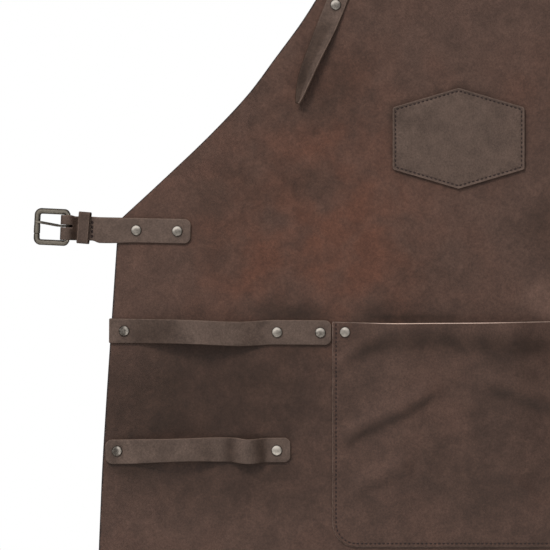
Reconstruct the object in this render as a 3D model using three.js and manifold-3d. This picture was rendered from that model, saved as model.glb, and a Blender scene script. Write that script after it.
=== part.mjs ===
// A leather work apron that hangs by its neck strap, seen from the front along +Y.
// Millimetres, +Z up, +X to the right of the front view. The origin is under the crown of the neck loop.
// Heights are given as drops below that origin, and widths from the apron's centre line.

import * as THREE from 'three';
import { mergeVertices } from 'three/addons/utils/BufferGeometryUtils.js';
import Module from 'manifold-3d';

const wasm = await Module();
wasm.setup();

// Leather thicknesses and the gap between pieces that lie on each other
const PANEL_THICK = 2.0;
const POCKET_THICK = 1.8;
const PATCH_THICK = 2.0;
const STRAP_THICK = 2.5;
const KEEPER_THICK = 1.8;
const GAP = 0.35;

// Panel: top edge of the bib, hem, and half widths of the left and right edges down its length
const BIB_TOP = 223;
const HEM = 1098;
const BIB_CORNER = 9;
const HEM_CORNER = 46;
const ARMHOLE = [
  { drop: 223, half: 129.5 },
  { drop: 265, half: 155.5 },
  { drop: 302, half: 182.5 },
  { drop: 340, half: 211 },
  { drop: 380, half: 248.5 },
  { drop: 420, half: 290.5 },
  { drop: 466, half: 340.5 },
];
const SIDE = [
  { drop: 466, half: 340.5 },
  { drop: 540, half: 345.5 },
  { drop: 660, half: 353.5 },
  { drop: 732, half: 357.5 },
  { drop: 1098, half: 372 },
];
const PANEL_COLUMNS = 24;
const BIB_ROWS = 8;
const SKIRT_ROWS = 15;
const CORNER_STEPS = 4;

// Drape: the sides turn back, the bib's top edge bows back and flutes deepen towards the hem
const SIDE_TURN = THREE.MathUtils.degToRad(5);
const TURN_START = 213;
const TURN_END = 263;
const BIB_BOW = 6;
const BIB_BOW_HALF = 105;
const BIB_BOW_END = 326;
const FLUTE_START = 800;
const FLUTES = [
  { at: -262, width: 150, depth: 15 },
  { at: -96, width: 170, depth: 17 },
  { at: 84, width: 150, depth: 13 },
  { at: 246, width: 170, depth: 18 },
];

// Hexagonal patch on the bib
const PATCH_DROP = 383.5;
const PATCH_HALF_WIDTH = 66;
const PATCH_HALF_HEIGHT = 50.5;
const PATCH_HALF_SIDE = 31;
const PATCH_CORNER = 4;
const PATCH_BEVEL = 0.5;

// Pocket, sewn at its sides and bottom, with two arched folds across its front
const POCKET_TOP = 567;
const POCKET_DIP = 2;
const POCKET_HALF = 126;
const POCKET_HEIGHT = 225;
const POCKET_CORNER = 24;
const POCKET_BORDER = 20;
const POCKET_RISE = 55;
const POCKET_BULGE = 12;
const POCKET_LOW_SHARE = 0.62;
const POCKET_COLUMNS = 20;
const POCKET_ROWS = 14;
const POCKET_RIVET_IN = 12.3;
const POCKET_RIVET_DOWN = 10;
const ARCH_RADIUS = 170;
const ARCH_FOLDS = [
  { at: 15, drop: 630, depth: 2.4, spread: 9 },
  { at: -16, drop: 711, depth: 1.8, spread: 9 },
];

// Straps riveted across the left side as loops for tools and towels
const STRAP_WIDTH = 24.8;
const STRAP_STEP = 6.5;
const TOOL_STRAP = {
  name: 'tool_strap',
  start: -349.5,
  end: -127.2,
  startDrop: 575.8,
  endDrop: 577.6,
  sag: 2.4,
  startCorner: 1.2,
  endCorner: 6.5,
  rivets: [-334, -181.5, -138.3],
  humps: [{ from: -326, to: -190, height: 15 }],
};
const TOWEL_STRAP = {
  name: 'towel_strap',
  start: -353.3,
  end: -168,
  startDrop: 696.2,
  endDrop: 695.2,
  sag: -1.6,
  startCorner: 5,
  endCorner: 6.5,
  rivets: [-341.1, -181.8],
  humps: [
    { from: -333, to: -227, height: 11 },
    { from: -229, to: -191, height: 8 },
  ],
};

// Rivets: domed cap in front, shank through the leather, flat cap behind
const RIVET_CAP = 4.9;
const RIVET_DOME = 1.9;
const RIVET_RIM = 0.7;
const DOME_SHOULDER = 0.66;
const DOME_FULLNESS = 0.84;
const RIVET_SHANK = 1.7;
const RIVET_BACK = 4.4;
const RIVET_BACK_THICK = 1.2;
const BACK_TAPER = 0.85;
const RIVET_SIDES = 10;
const HOLE_RADIUS = RIVET_SHANK + GAP;
const HOLE_SIDES = 8;

// Waist straps: the same two rivets on each side, mirrored
const WAIST_OUTER_RIVET = 321.8;
const WAIST_INNER_RIVET = 280.7;
const WAIST_END = 267.6;
const WAIST_DROP = 475.2;
const WAIST_TILT = THREE.MathUtils.degToRad(1.2);
const WAIST_CORNER = 6.5;

// Buckle strap, folded round the buckle's bar, with a slot for the prong
const BAR_X = 391.2;
const BAR_RADIUS = 2.1;
const FOLD_CLEARANCE = 0.35;
const LAYER_GAP = 0.4;
const FOLD_RUN = 11;
const FOLD_STEPS = 5;
const WRAP_STEPS = 10;
const FLAP_END_X = 364;
const NARROW_X = 362;
const NARROW_RUN = 8;
const NARROW_UP = 11.9;
const NARROW_DOWN = 11.3;
const SLOT_HALF = 2.7;
const SLOT_RISE = 1.6;
const SLOT_BEFORE = 9;
const SLOT_AFTER = 8;

// Buckle frame and prong
const FRAME_HALF_HEIGHT = 18.5;
const FRAME_REACH = 34.2;
const FRAME_HEEL = 2.7;
const FRAME_BAND = 5.7;
const FRAME_FAR_BAND = 6.2;
const FRAME_THICK = 4.2;
const FRAME_CORNER = 7.2;
const FRAME_INNER_CORNER = 2.4;
const FRAME_BEVEL = 1.2;
const FRAME_RISE = 1.2;
const BAR_SIDES = 12;
const FRAME_CORNER_STEPS = 3;
const PRONG_RADIUS = 1.35;
const PRONG_HALF_SIDES = 4;
const PRONG_TIP_RISE = 3.8;
const PRONG_PAST_EDGE = 1.6;
const PRONG_EYE_TURN = THREE.MathUtils.degToRad(215);
const PRONG_EYE_STEPS = 7;
const PRONG_STEPS = 26;
const PRONG_STOPS = [0.35, 0.7];

// Keeper: a leather band round the folded strap, with room for the strap's free end
const KEEPER_X = 374.6;
const KEEPER_WIDTH = 11.4;
const KEEPER_UP = 17.4;
const KEEPER_DOWN = 14.6;
const KEEPER_ROOM = 6.2;
const KEEPER_LEAN = THREE.MathUtils.degToRad(3.5);
const KEEPER_CORNER = 2.6;
const KEEPER_INNER_CORNER = 1.16;
const KEEPER_CORNER_STEPS = 3;

// Free waist strap on the right: how far along it turns, droops and ends
const WAIST_FREE = 600;
const WAIST_STEP = 12.5;
const ROLL_OVER = { start: 6, run: 120, angle: THREE.MathUtils.degToRad(90) };
const ROLL_BACK = { start: 210, run: 280, angle: THREE.MathUtils.degToRad(-62) };
const DROOP = { start: 40, run: 150, angle: THREE.MathUtils.degToRad(90) };
const WAIST_POINT = 20;
const WAIST_TIP_HALF = 3;
const PUNCH_RADIUS = 2;
const PUNCH_FIRST = 75;
const PUNCH_PITCH = 25;
const PUNCH_COUNT = 6;

// Neck strap: legs that lean in from one rivet on each bib corner, an arch and a loose tail on the left
const NECK_WIDTH = 20;
const NECK_RIVET_X = 123;
const NECK_RIVET_DROP = 250;
const NECK_LEAN = THREE.MathUtils.degToRad(20);
const NECK_ARCH = 45;
const NECK_END = 17;
const NECK_CORNER = 6;
const NECK_TWIST_START = 30;
const LEG_STEPS = 13;
const ARCH_STEPS = 12;
const TAIL_STEPS = 12;
const TAIL_CROWDING = 1.3;
const TAIL = [
  { x: -158.9, drop: 350, half: 2.6, lift: 6.5, cup: 2 },
  { x: -156.6, drop: 336, half: 7.2, lift: 6, cup: 3.4 },
  { x: -153.4, drop: 323, half: 8.8, lift: 5.4, cup: 4 },
  { x: -145, drop: 302, half: 9.8, lift: 4, cup: 4 },
  { x: -132.6, drop: 273, half: NECK_WIDTH / 2, lift: 1.2, cup: 1.6 },
  { x: -NECK_RIVET_X, drop: NECK_RIVET_DROP, half: NECK_WIDTH / 2, lift: 0, cup: 0 },
];
const CUP_LEFT_SHARE = 0.4;
const CREASE_AT = 0.6;

const LEATHER = { color: 0x59423a, roughness: 0.62, metalness: 0 };
const STRAP_LEATHER = { color: 0x5f5149, roughness: 0.58, metalness: 0 };
const PATCH_LEATHER = { color: 0x5b4c44, roughness: 0.6, metalness: 0 };
const BUCKLE_METAL = { color: 0x807d70, roughness: 0.35, metalness: 1 };
const RIVET_METAL = { color: 0xa2958a, roughness: 0.3, metalness: 1 };

const MERGE_DISTANCE = 1e-4;
const FRONT = -1;
const BACK = 1;
const UP = new THREE.Vector3(0, 0, 1);
const TOWARDS_VIEWER = new THREE.Vector3(0, -1, 0);

const apron = new THREE.Group();

function addPiece(parent, name, geometry, finish) {
  const mesh = new THREE.Mesh(geometry, new THREE.MeshStandardMaterial(finish));
  mesh.name = name;
  parent.add(mesh);
  return mesh;
}

function smooth(value) {
  const t = THREE.MathUtils.clamp(value, 0, 1);
  return t * t * (3 - 2 * t);
}

// Value of a column at a drop, on a cubic curve through the table's rows
function columnAt(table, drop, column) {
  const last = table.length - 1;
  const downwards = Math.sign(table[last].drop - table[0].drop);
  const slope = (i) => {
    const a = table[Math.max(i - 1, 0)];
    const b = table[Math.min(i + 1, last)];
    return (b[column] - a[column]) / (b.drop - a.drop);
  };
  let i = 0;
  while (i < last - 1 && (drop - table[i + 1].drop) * downwards > 0) {
    i++;
  }
  const run = table[i + 1].drop - table[i].drop;
  const t = (drop - table[i].drop) / run;
  const ease = t * t * (3 - 2 * t);
  const bend = t * (1 - t) * ((1 - t) * slope(i) - t * slope(i + 1)) * run;
  return table[i][column] * (1 - ease) + table[i + 1][column] * ease + bend;
}

// How far a rounded corner pulls an edge in, at a distance from the end of the piece
function cornerInset(distance, radius) {
  const short = Math.max(radius - distance, 0);
  return radius - Math.sqrt(Math.max(radius * radius - short * short, 0));
}

// Distances from an end at which a rounded corner is stepped
function cornerStops(radius) {
  const stops = [];
  for (let k = 0; k <= CORNER_STEPS; k++) {
    stops.push(radius * (1 - Math.cos((k / CORNER_STEPS) * (Math.PI / 2))));
  }
  return stops;
}

// Closed sheet from a grid of front points and a grid of back points
function gridSolid(rows, columns, place) {
  const points = [];
  for (const side of [FRONT, BACK]) {
    for (let i = 0; i <= rows; i++) {
      for (let j = 0; j <= columns; j++) {
        points.push(...place(i, j, side).toArray());
      }
    }
  }
  const layer = (rows + 1) * (columns + 1);
  const f = (i, j) => i * (columns + 1) + j;
  const b = (i, j) => layer + f(i, j);
  const faces = [];
  const quad = (p, q, r, s) => faces.push(p, q, r, p, r, s);
  for (let i = 0; i < rows; i++) {
    for (let j = 0; j < columns; j++) {
      quad(f(i, j), f(i + 1, j), f(i + 1, j + 1), f(i, j + 1));
      quad(b(i, j), b(i, j + 1), b(i + 1, j + 1), b(i + 1, j));
    }
    quad(f(i + 1, 0), f(i, 0), b(i, 0), b(i + 1, 0));
    quad(f(i, columns), f(i + 1, columns), b(i + 1, columns), b(i, columns));
  }
  for (let j = 0; j < columns; j++) {
    quad(f(0, j), f(0, j + 1), b(0, j + 1), b(0, j));
    quad(f(rows, j + 1), f(rows, j), b(rows, j), b(rows, j + 1));
  }
  const geometry = new THREE.BufferGeometry();
  geometry.setAttribute('position', new THREE.Float32BufferAttribute(points, 3));
  geometry.setIndex(faces);
  geometry.computeVertexNormals();
  return geometry;
}

// Strap swept through stations: a centre, the way its front faces, and its edges below and above the centre
function strapSolid(stations, thick, columns = 1) {
  const last = stations.length - 1;
  const frames = stations.map((s, i) => {
    const before = stations[Math.max(i - 1, 0)].centre;
    const after = stations[Math.min(i + 1, last)].centre;
    const along = after.clone().sub(before).normalize();
    const across = s.out.clone().cross(along).normalize();
    return { across, out: along.clone().cross(across) };
  });
  return gridSolid(last, columns, (i, j, side) => {
    const s = stations[i];
    const share = columns === 1 ? j : [0, 1 - CREASE_AT, 1][j];
    const cup = columns === 1 ? 0 : [s.cup, 0, s.cup * CUP_LEFT_SHARE][j];
    const offset = THREE.MathUtils.lerp(s.low, s.high, share);
    const point = s.centre.clone().addScaledVector(frames[i].across, offset);
    return point.addScaledVector(frames[i].out, cup - (side * thick) / 2);
  });
}

function toSolid(geometry) {
  const bare = geometry.clone();
  bare.deleteAttribute('normal');
  bare.deleteAttribute('uv');
  const merged = mergeVertices(bare, MERGE_DISTANCE);
  const vertProperties = merged.attributes.position.array;
  const triVerts = new Uint32Array(merged.index.array);
  return new wasm.Manifold(new wasm.Mesh({ numProp: 3, vertProperties, triVerts }));
}

function toGeometry(solid) {
  const mesh = solid.getMesh();
  const geometry = new THREE.BufferGeometry();
  geometry.setAttribute('position', new THREE.Float32BufferAttribute(mesh.vertProperties, 3));
  geometry.setIndex([...mesh.triVerts]);
  geometry.computeVertexNormals();
  return geometry;
}

function cut(geometry, tools) {
  let solid = toSolid(geometry);
  for (const tool of tools) {
    solid = solid.subtract(toSolid(tool));
  }
  return toGeometry(solid);
}

// Panel

function panelHalf(drop) {
  const shoulder = ARMHOLE[ARMHOLE.length - 1].drop;
  return columnAt(drop < shoulder ? ARMHOLE : SIDE, drop, 'half');
}

// How far the panel's middle layer lies behind the plane of the bib
function panelDepth(x, drop) {
  const past = Math.min(Math.abs(x), TURN_END) - TURN_START;
  const bend = (Math.tan(SIDE_TURN) * Math.max(past, 0) ** 2) / (2 * (TURN_END - TURN_START));
  const straight = Math.tan(SIDE_TURN) * Math.max(Math.abs(x) - TURN_END, 0);
  const bow = BIB_BOW * smooth((BIB_BOW_END - drop) / (BIB_BOW_END - BIB_TOP));
  const across = Math.max(1 - (x / BIB_BOW_HALF) ** 2, 0) ** 2;
  const deepening = smooth((drop - FLUTE_START) / (HEM - FLUTE_START));
  let flutes = 0;
  for (const flute of FLUTES) {
    const near = Math.min(Math.abs(x - flute.at) / (flute.width / 2), 1);
    flutes += (flute.depth * (1 + Math.cos(Math.PI * near))) / 2;
  }
  return bend + straight + bow * across + flutes * deepening;
}

function panelFront(x, drop) {
  return panelDepth(x, drop) - PANEL_THICK / 2;
}

// Place on the panel's front at which a piece is fastened, with local +Y running into the leather
function seatMatrix(x, drop) {
  const probe = 2;
  const rise = panelDepth(x + probe, drop) - panelDepth(x - probe, drop);
  const turn = Math.atan2(rise, 2 * probe);
  const matrix = new THREE.Matrix4().makeRotationZ(turn);
  return matrix.setPosition(x, panelFront(x, drop), -drop);
}

function drillTool(matrix, radius = HOLE_RADIUS) {
  const reach = 30;
  return new THREE.CylinderGeometry(radius, radius, reach, HOLE_SIDES).applyMatrix4(matrix);
}

const neckSeats = [-1, 1].map((side) => seatMatrix(side * NECK_RIVET_X, NECK_RIVET_DROP));
const WAIST_INNER_DROP = WAIST_DROP + (WAIST_OUTER_RIVET - WAIST_INNER_RIVET) * Math.tan(WAIST_TILT);
const waistSeats = (side) => [
  seatMatrix(side * WAIST_OUTER_RIVET, WAIST_DROP),
  seatMatrix(side * WAIST_INNER_RIVET, WAIST_INNER_DROP),
];
const pocketSeats = [-1, 1].map((side) =>
  seatMatrix(side * (POCKET_HALF - POCKET_RIVET_IN), POCKET_TOP + POCKET_RIVET_DOWN),
);
const loopSeats = (strap) => strap.rivets.map((x) => seatMatrix(x, loopDrop(strap, x)));

// Rows of the panel: close together at the rounded corners and evenly spread between them
function panelRows() {
  const shoulder = ARMHOLE[ARMHOLE.length - 1].drop;
  const rows = cornerStops(BIB_CORNER).map((stop) => BIB_TOP + stop);
  for (let i = 1; i <= BIB_ROWS; i++) {
    rows.push(THREE.MathUtils.lerp(BIB_TOP + BIB_CORNER, shoulder, i / BIB_ROWS));
  }
  for (let i = 1; i < SKIRT_ROWS; i++) {
    rows.push(THREE.MathUtils.lerp(shoulder, HEM - HEM_CORNER, i / SKIRT_ROWS));
  }
  const hem = cornerStops(HEM_CORNER).map((stop) => HEM - stop);
  return rows.concat(hem.reverse());
}

function panelGeometry() {
  const rows = panelRows();
  return gridSolid(rows.length - 1, PANEL_COLUMNS, (i, j, side) => {
    const drop = rows[i];
    const inset = cornerInset(drop - BIB_TOP, BIB_CORNER) + cornerInset(HEM - drop, HEM_CORNER);
    const x = (panelHalf(drop) - inset) * ((2 * j) / PANEL_COLUMNS - 1);
    return new THREE.Vector3(x, panelDepth(x, drop) + (side * PANEL_THICK) / 2, -drop);
  });
}

// Patch: a hexagon with rounded corners, standing on its point

function patchGeometry() {
  const corners = [
    new THREE.Vector2(0, PATCH_HALF_HEIGHT),
    new THREE.Vector2(-PATCH_HALF_WIDTH, PATCH_HALF_SIDE),
    new THREE.Vector2(-PATCH_HALF_WIDTH, -PATCH_HALF_SIDE),
    new THREE.Vector2(0, -PATCH_HALF_HEIGHT),
    new THREE.Vector2(PATCH_HALF_WIDTH, -PATCH_HALF_SIDE),
    new THREE.Vector2(PATCH_HALF_WIDTH, PATCH_HALF_SIDE),
  ];
  const shape = new THREE.Shape();
  corners.forEach((corner, i) => {
    const previous = corners[(i + 5) % 6];
    const next = corners[(i + 1) % 6];
    const enter = previous.clone().sub(corner).setLength(PATCH_CORNER).add(corner);
    const leave = next.clone().sub(corner).setLength(PATCH_CORNER).add(corner);
    if (i === 0) {
      shape.moveTo(enter.x, enter.y);
    } else {
      shape.lineTo(enter.x, enter.y);
    }
    shape.quadraticCurveTo(corner.x, corner.y, leave.x, leave.y);
  });
  shape.closePath();
  return new THREE.ExtrudeGeometry(shape, {
    depth: PATCH_THICK - 2 * PATCH_BEVEL,
    bevelEnabled: true,
    bevelThickness: PATCH_BEVEL,
    bevelSize: PATCH_BEVEL,
    bevelOffset: -PATCH_BEVEL,
    bevelSegments: 1,
    curveSegments: CORNER_STEPS,
  });
}

function addPatch() {
  const patch = addPiece(apron, 'hex_patch', patchGeometry(), PATCH_LEATHER);
  patch.rotation.x = Math.PI / 2;
  patch.position.set(0, panelFront(0, PATCH_DROP) - GAP - PATCH_BEVEL, -PATCH_DROP);
}

// Pocket

function pocketBulge(x, drop) {
  const fromSide = POCKET_HALF - Math.abs(x);
  const fromBottom = POCKET_TOP + POCKET_HEIGHT - drop;
  const acrossOpen = smooth((fromSide - POCKET_BORDER) / POCKET_RISE);
  const open = acrossOpen * smooth((fromBottom - POCKET_BORDER) / POCKET_RISE);
  let folds = 0;
  for (const fold of ARCH_FOLDS) {
    const crease = fold.drop + (x - fold.at) ** 2 / (2 * ARCH_RADIUS);
    folds += fold.depth * Math.exp(-(((drop - crease) / fold.spread) ** 2));
  }
  const inside = smooth((fromSide - POCKET_BORDER) / POCKET_BORDER);
  const upper = smooth(1 - (drop - POCKET_TOP) / (POCKET_HEIGHT / 2));
  const taper = THREE.MathUtils.lerp(POCKET_LOW_SHARE, 1, upper);
  return POCKET_BULGE * open * taper + folds * inside * smooth(fromBottom / POCKET_RISE);
}

function pocketGeometry() {
  const bottom = POCKET_TOP + POCKET_HEIGHT;
  const rows = [];
  for (let i = 0; i < POCKET_ROWS; i++) {
    rows.push(THREE.MathUtils.lerp(POCKET_TOP, bottom - POCKET_CORNER, i / POCKET_ROWS));
  }
  rows.push(...cornerStops(POCKET_CORNER).map((stop) => bottom - stop).reverse());
  return gridSolid(rows.length - 1, POCKET_COLUMNS, (i, j, side) => {
    const half = POCKET_HALF - cornerInset(bottom - rows[i], POCKET_CORNER);
    const x = half * ((2 * j) / POCKET_COLUMNS - 1);
    const dip = POCKET_DIP * (1 - (x / POCKET_HALF) ** 2) * (1 - i / (rows.length - 1));
    const drop = rows[i] + dip;
    const lift = GAP + pocketBulge(x, drop) + (side === FRONT ? POCKET_THICK : 0);
    return new THREE.Vector3(x, panelFront(x, drop) - lift, -drop);
  });
}

// Loop straps across the left side

function loopDrop(strap, x) {
  const share = (x - strap.start) / (strap.end - strap.start);
  const first = strap.rivets[0];
  const second = strap.rivets[1];
  const between = THREE.MathUtils.clamp((x - first) / (second - first), 0, 1);
  const sag = strap.sag * Math.sin(Math.PI * between) ** 2;
  return THREE.MathUtils.lerp(strap.startDrop, strap.endDrop, share) + sag;
}

function loopHump(strap, x) {
  let height = 0;
  for (const hump of strap.humps) {
    const share = THREE.MathUtils.clamp((x - hump.from) / (hump.to - hump.from), 0, 1);
    height += hump.height * Math.sin(Math.PI * share) ** 2;
  }
  return height;
}

function loopGeometry(strap) {
  const starts = cornerStops(strap.startCorner).map((stop) => strap.start + stop);
  const ends = cornerStops(strap.endCorner).map((stop) => strap.end - stop).reverse();
  const from = starts[CORNER_STEPS];
  const run = ends[0] - from;
  const count = Math.round(run / STRAP_STEP);
  const middles = Array.from({ length: count - 1 }, (_, i) => from + (run * (i + 1)) / count);
  const stations = [...starts, ...middles, ...ends].map((x) => {
    const drop = loopDrop(strap, x);
    const y = panelFront(x, drop) - GAP - STRAP_THICK / 2 - loopHump(strap, x);
    const startInset = cornerInset(x - strap.start, strap.startCorner);
    const half = STRAP_WIDTH / 2 - startInset - cornerInset(strap.end - x, strap.endCorner);
    return { centre: new THREE.Vector3(x, y, -drop), out: TOWARDS_VIEWER, low: -half, high: half };
  });
  return cut(strapSolid(stations, STRAP_THICK), loopSeats(strap).map((seat) => drillTool(seat)));
}

// Rivets

function rivetGeometry(stack) {
  const capSeat = -(stack + GAP);
  const backSeat = PANEL_THICK + GAP;
  const profile = [
    new THREE.Vector2(0, capSeat - RIVET_DOME),
    new THREE.Vector2(RIVET_CAP * DOME_SHOULDER, capSeat - RIVET_DOME * DOME_FULLNESS),
    new THREE.Vector2(RIVET_CAP, capSeat - RIVET_RIM),
    new THREE.Vector2(RIVET_CAP, capSeat),
    new THREE.Vector2(RIVET_SHANK, capSeat),
    new THREE.Vector2(RIVET_SHANK, backSeat),
    new THREE.Vector2(RIVET_BACK, backSeat),
    new THREE.Vector2(RIVET_BACK * BACK_TAPER, backSeat + RIVET_BACK_THICK),
    new THREE.Vector2(0, backSeat + RIVET_BACK_THICK),
  ];
  return new THREE.LatheGeometry(profile, RIVET_SIDES);
}

function addRivets(name, seats, leather) {
  seats.forEach((seat, i) => {
    const rivet = addPiece(apron, `${name}_rivet_${i + 1}`, rivetGeometry(leather + GAP), RIVET_METAL);
    rivet.applyMatrix4(seat);
  });
}

// Waist straps: a group on each side whose local -X or +X runs outwards along the turned-back panel

function waistGroup(side) {
  const group = new THREE.Group();
  const onPanel = panelFront(side * WAIST_OUTER_RIVET, WAIST_DROP);
  group.position.set(side * WAIST_OUTER_RIVET, onPanel, -WAIST_DROP);
  group.rotation.set(0, -side * WAIST_TILT, side * SIDE_TURN, 'ZYX');
  apron.add(group);
  group.updateMatrixWorld(true);
  return group;
}

// Distance along a waist strap from its outer rivet to a place at a distance from the centre line
function outwards(fromCentre) {
  return (fromCentre - WAIST_OUTER_RIVET) / Math.cos(SIDE_TURN);
}

function localTools(group, seats) {
  const inverse = group.matrixWorld.clone().invert();
  return seats.map((seat) => drillTool(inverse.clone().multiply(seat)));
}

// Height of the middle of the folded strap above the panel's front, where the buckle's bar lies
const FOLD_MIDDLE = -(GAP - LAYER_GAP / 2);
const LAYER_OFFSET = (STRAP_THICK + LAYER_GAP) / 2;
const FOLD_RADIUS = BAR_RADIUS + FOLD_CLEARANCE + STRAP_THICK / 2;

// Plan of the buckle strap's middle layer: along the front, round the bar and back behind
function buckleStrapPlan() {
  const bar = -outwards(BAR_X);
  const plan = [];
  const spread = (run) => THREE.MathUtils.lerp(LAYER_OFFSET, FOLD_RADIUS, smooth(1 - run / FOLD_RUN));
  for (const stop of cornerStops(WAIST_CORNER)) {
    plan.push({ x: -outwards(WAIST_END) - stop, y: -LAYER_OFFSET, inset: cornerInset(stop, WAIST_CORNER) });
  }
  for (const x of [NARROW_X - NARROW_RUN, NARROW_X]) {
    plan.push({ x: -outwards(x), y: -LAYER_OFFSET, inset: 0 });
  }
  for (let i = 0; i < FOLD_STEPS; i++) {
    const run = FOLD_RUN * (1 - i / FOLD_STEPS);
    plan.push({ x: bar + run, y: -spread(run), inset: 0 });
  }
  for (let i = 0; i <= WRAP_STEPS; i++) {
    const turn = (Math.PI * i) / WRAP_STEPS;
    plan.push({ x: bar - FOLD_RADIUS * Math.sin(turn), y: -FOLD_RADIUS * Math.cos(turn), inset: 0 });
  }
  for (let i = 1; i <= FOLD_STEPS; i++) {
    const run = (FOLD_RUN * i) / FOLD_STEPS;
    plan.push({ x: bar + run, y: spread(run), inset: 0 });
  }
  plan.push({ x: -outwards(FLAP_END_X), y: LAYER_OFFSET, inset: 0 });
  return plan;
}

function buckleStrapGeometry(group) {
  const plan = buckleStrapPlan();
  const bar = -outwards(BAR_X);
  const stations = plan.map((point, i) => {
    const before = plan[Math.max(i - 1, 0)];
    const after = plan[Math.min(i + 1, plan.length - 1)];
    const out = new THREE.Vector3(-(after.y - before.y), after.x - before.x, 0).normalize();
    const narrow = smooth((-outwards(NARROW_X - NARROW_RUN) - point.x) / NARROW_RUN);
    const low = THREE.MathUtils.lerp(STRAP_WIDTH / 2, NARROW_DOWN, narrow) - point.inset;
    const high = THREE.MathUtils.lerp(STRAP_WIDTH / 2, NARROW_UP, narrow) - point.inset;
    const centre = new THREE.Vector3(point.x, point.y + FOLD_MIDDLE, 0);
    return { centre, out, low: -high, high: low };
  });
  const slot = new THREE.BoxGeometry(SLOT_BEFORE + SLOT_AFTER, 4 * FOLD_RADIUS, 2 * SLOT_HALF);
  slot.translate(bar + (SLOT_AFTER - SLOT_BEFORE) / 2, FOLD_MIDDLE, SLOT_RISE);
  return cut(strapSolid(stations, STRAP_THICK), [slot, ...localTools(group, waistSeats(-1))]);
}

// Buckle frame: three flat bars with rounded edges and a round hinge bar in the strap's fold

function roundedLoop(path, left, right, halfHeight, corner, middle = 0) {
  const low = middle - halfHeight;
  const high = middle + halfHeight;
  path.moveTo(left + corner, low);
  path.lineTo(right - corner, low);
  path.absarc(right - corner, low + corner, corner, -Math.PI / 2, 0);
  path.lineTo(right, high - corner);
  path.absarc(right - corner, high - corner, corner, 0, Math.PI / 2);
  path.lineTo(left + corner, high);
  path.absarc(left + corner, high - corner, corner, Math.PI / 2, Math.PI);
  path.lineTo(left, low + corner);
  path.absarc(left + corner, low + corner, corner, Math.PI, Math.PI * 1.5);
  return path;
}

// The frame lies in its own XY plane, with the hinge bar along Y at x = 0 and the far bar at negative x
function frameGeometry() {
  const inner = FRAME_HALF_HEIGHT - FRAME_BAND;
  const outline = roundedLoop(new THREE.Shape(), -FRAME_REACH, FRAME_HEEL, FRAME_HALF_HEIGHT, FRAME_CORNER);
  const farSide = -FRAME_REACH + FRAME_FAR_BAND;
  const gapLeft = -BAR_RADIUS - FRAME_INNER_CORNER;
  const gapRight = FRAME_HEEL + FRAME_BAND;
  outline.holes.push(roundedLoop(new THREE.Path(), farSide, -BAR_RADIUS, inner, FRAME_INNER_CORNER));
  const bars = new THREE.ExtrudeGeometry(outline, {
    depth: FRAME_THICK - 2 * FRAME_BEVEL,
    bevelEnabled: true,
    bevelThickness: FRAME_BEVEL,
    bevelSize: FRAME_BEVEL,
    bevelOffset: -FRAME_BEVEL,
    bevelSegments: 2,
    curveSegments: FRAME_CORNER_STEPS,
  });
  bars.translate(0, 0, FRAME_BEVEL - FRAME_THICK / 2);
  const gap = new THREE.BoxGeometry(gapRight - gapLeft, 2 * inner, 2 * FRAME_THICK);
  gap.translate((gapLeft + gapRight) / 2, 0, 0);
  const bar = new THREE.CylinderGeometry(BAR_RADIUS, BAR_RADIUS, 2 * (inner + FRAME_BAND / 2), BAR_SIDES);
  return toGeometry(toSolid(bars).subtract(toSolid(gap)).add(toSolid(bar)));
}

// Prong: a wire that lies over the far bar, runs back to the hinge bar and curls round it
function prongGeometry() {
  const eye = BAR_RADIUS + FOLD_CLEARANCE + PRONG_RADIUS;
  const tipHeight = FRAME_THICK / 2 + GAP + PRONG_RADIUS;
  const tip = new THREE.Vector3(-FRAME_REACH + PRONG_PAST_EDGE, PRONG_TIP_RISE, tipHeight);
  const points = [tip];
  for (const share of PRONG_STOPS) {
    points.push(tip.clone().lerp(new THREE.Vector3(0, 0, eye), share));
  }
  for (let i = 0; i <= PRONG_EYE_STEPS; i++) {
    const turn = (PRONG_EYE_TURN * i) / PRONG_EYE_STEPS;
    points.push(new THREE.Vector3(eye * Math.sin(turn), 0, eye * Math.cos(turn)));
  }
  const section = new THREE.Shape().absarc(0, 0, PRONG_RADIUS, 0, 2 * Math.PI);
  return new THREE.ExtrudeGeometry(section, {
    extrudePath: new THREE.CatmullRomCurve3(points, false, 'centripetal'),
    steps: PRONG_STEPS,
    curveSegments: PRONG_HALF_SIDES,
  });
}

function keeperGeometry() {
  const face = LAYER_OFFSET + STRAP_THICK / 2;
  const back = -(face + GAP);
  const front = face + KEEPER_ROOM;
  const wall = KEEPER_THICK;
  const loop = (path, grow, corner) => {
    const middle = (KEEPER_UP - KEEPER_DOWN) / 2;
    const half = (KEEPER_UP + KEEPER_DOWN) / 2 - wall + grow;
    return roundedLoop(path, back - grow, front + grow, half, corner, middle);
  };
  const band = loop(new THREE.Shape(), wall, KEEPER_CORNER);
  band.holes.push(loop(new THREE.Path(), 0, KEEPER_INNER_CORNER));
  const options = { depth: KEEPER_WIDTH, bevelEnabled: false, curveSegments: KEEPER_CORNER_STEPS };
  return new THREE.ExtrudeGeometry(band, options).translate(0, 0, -KEEPER_WIDTH / 2);
}

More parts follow.
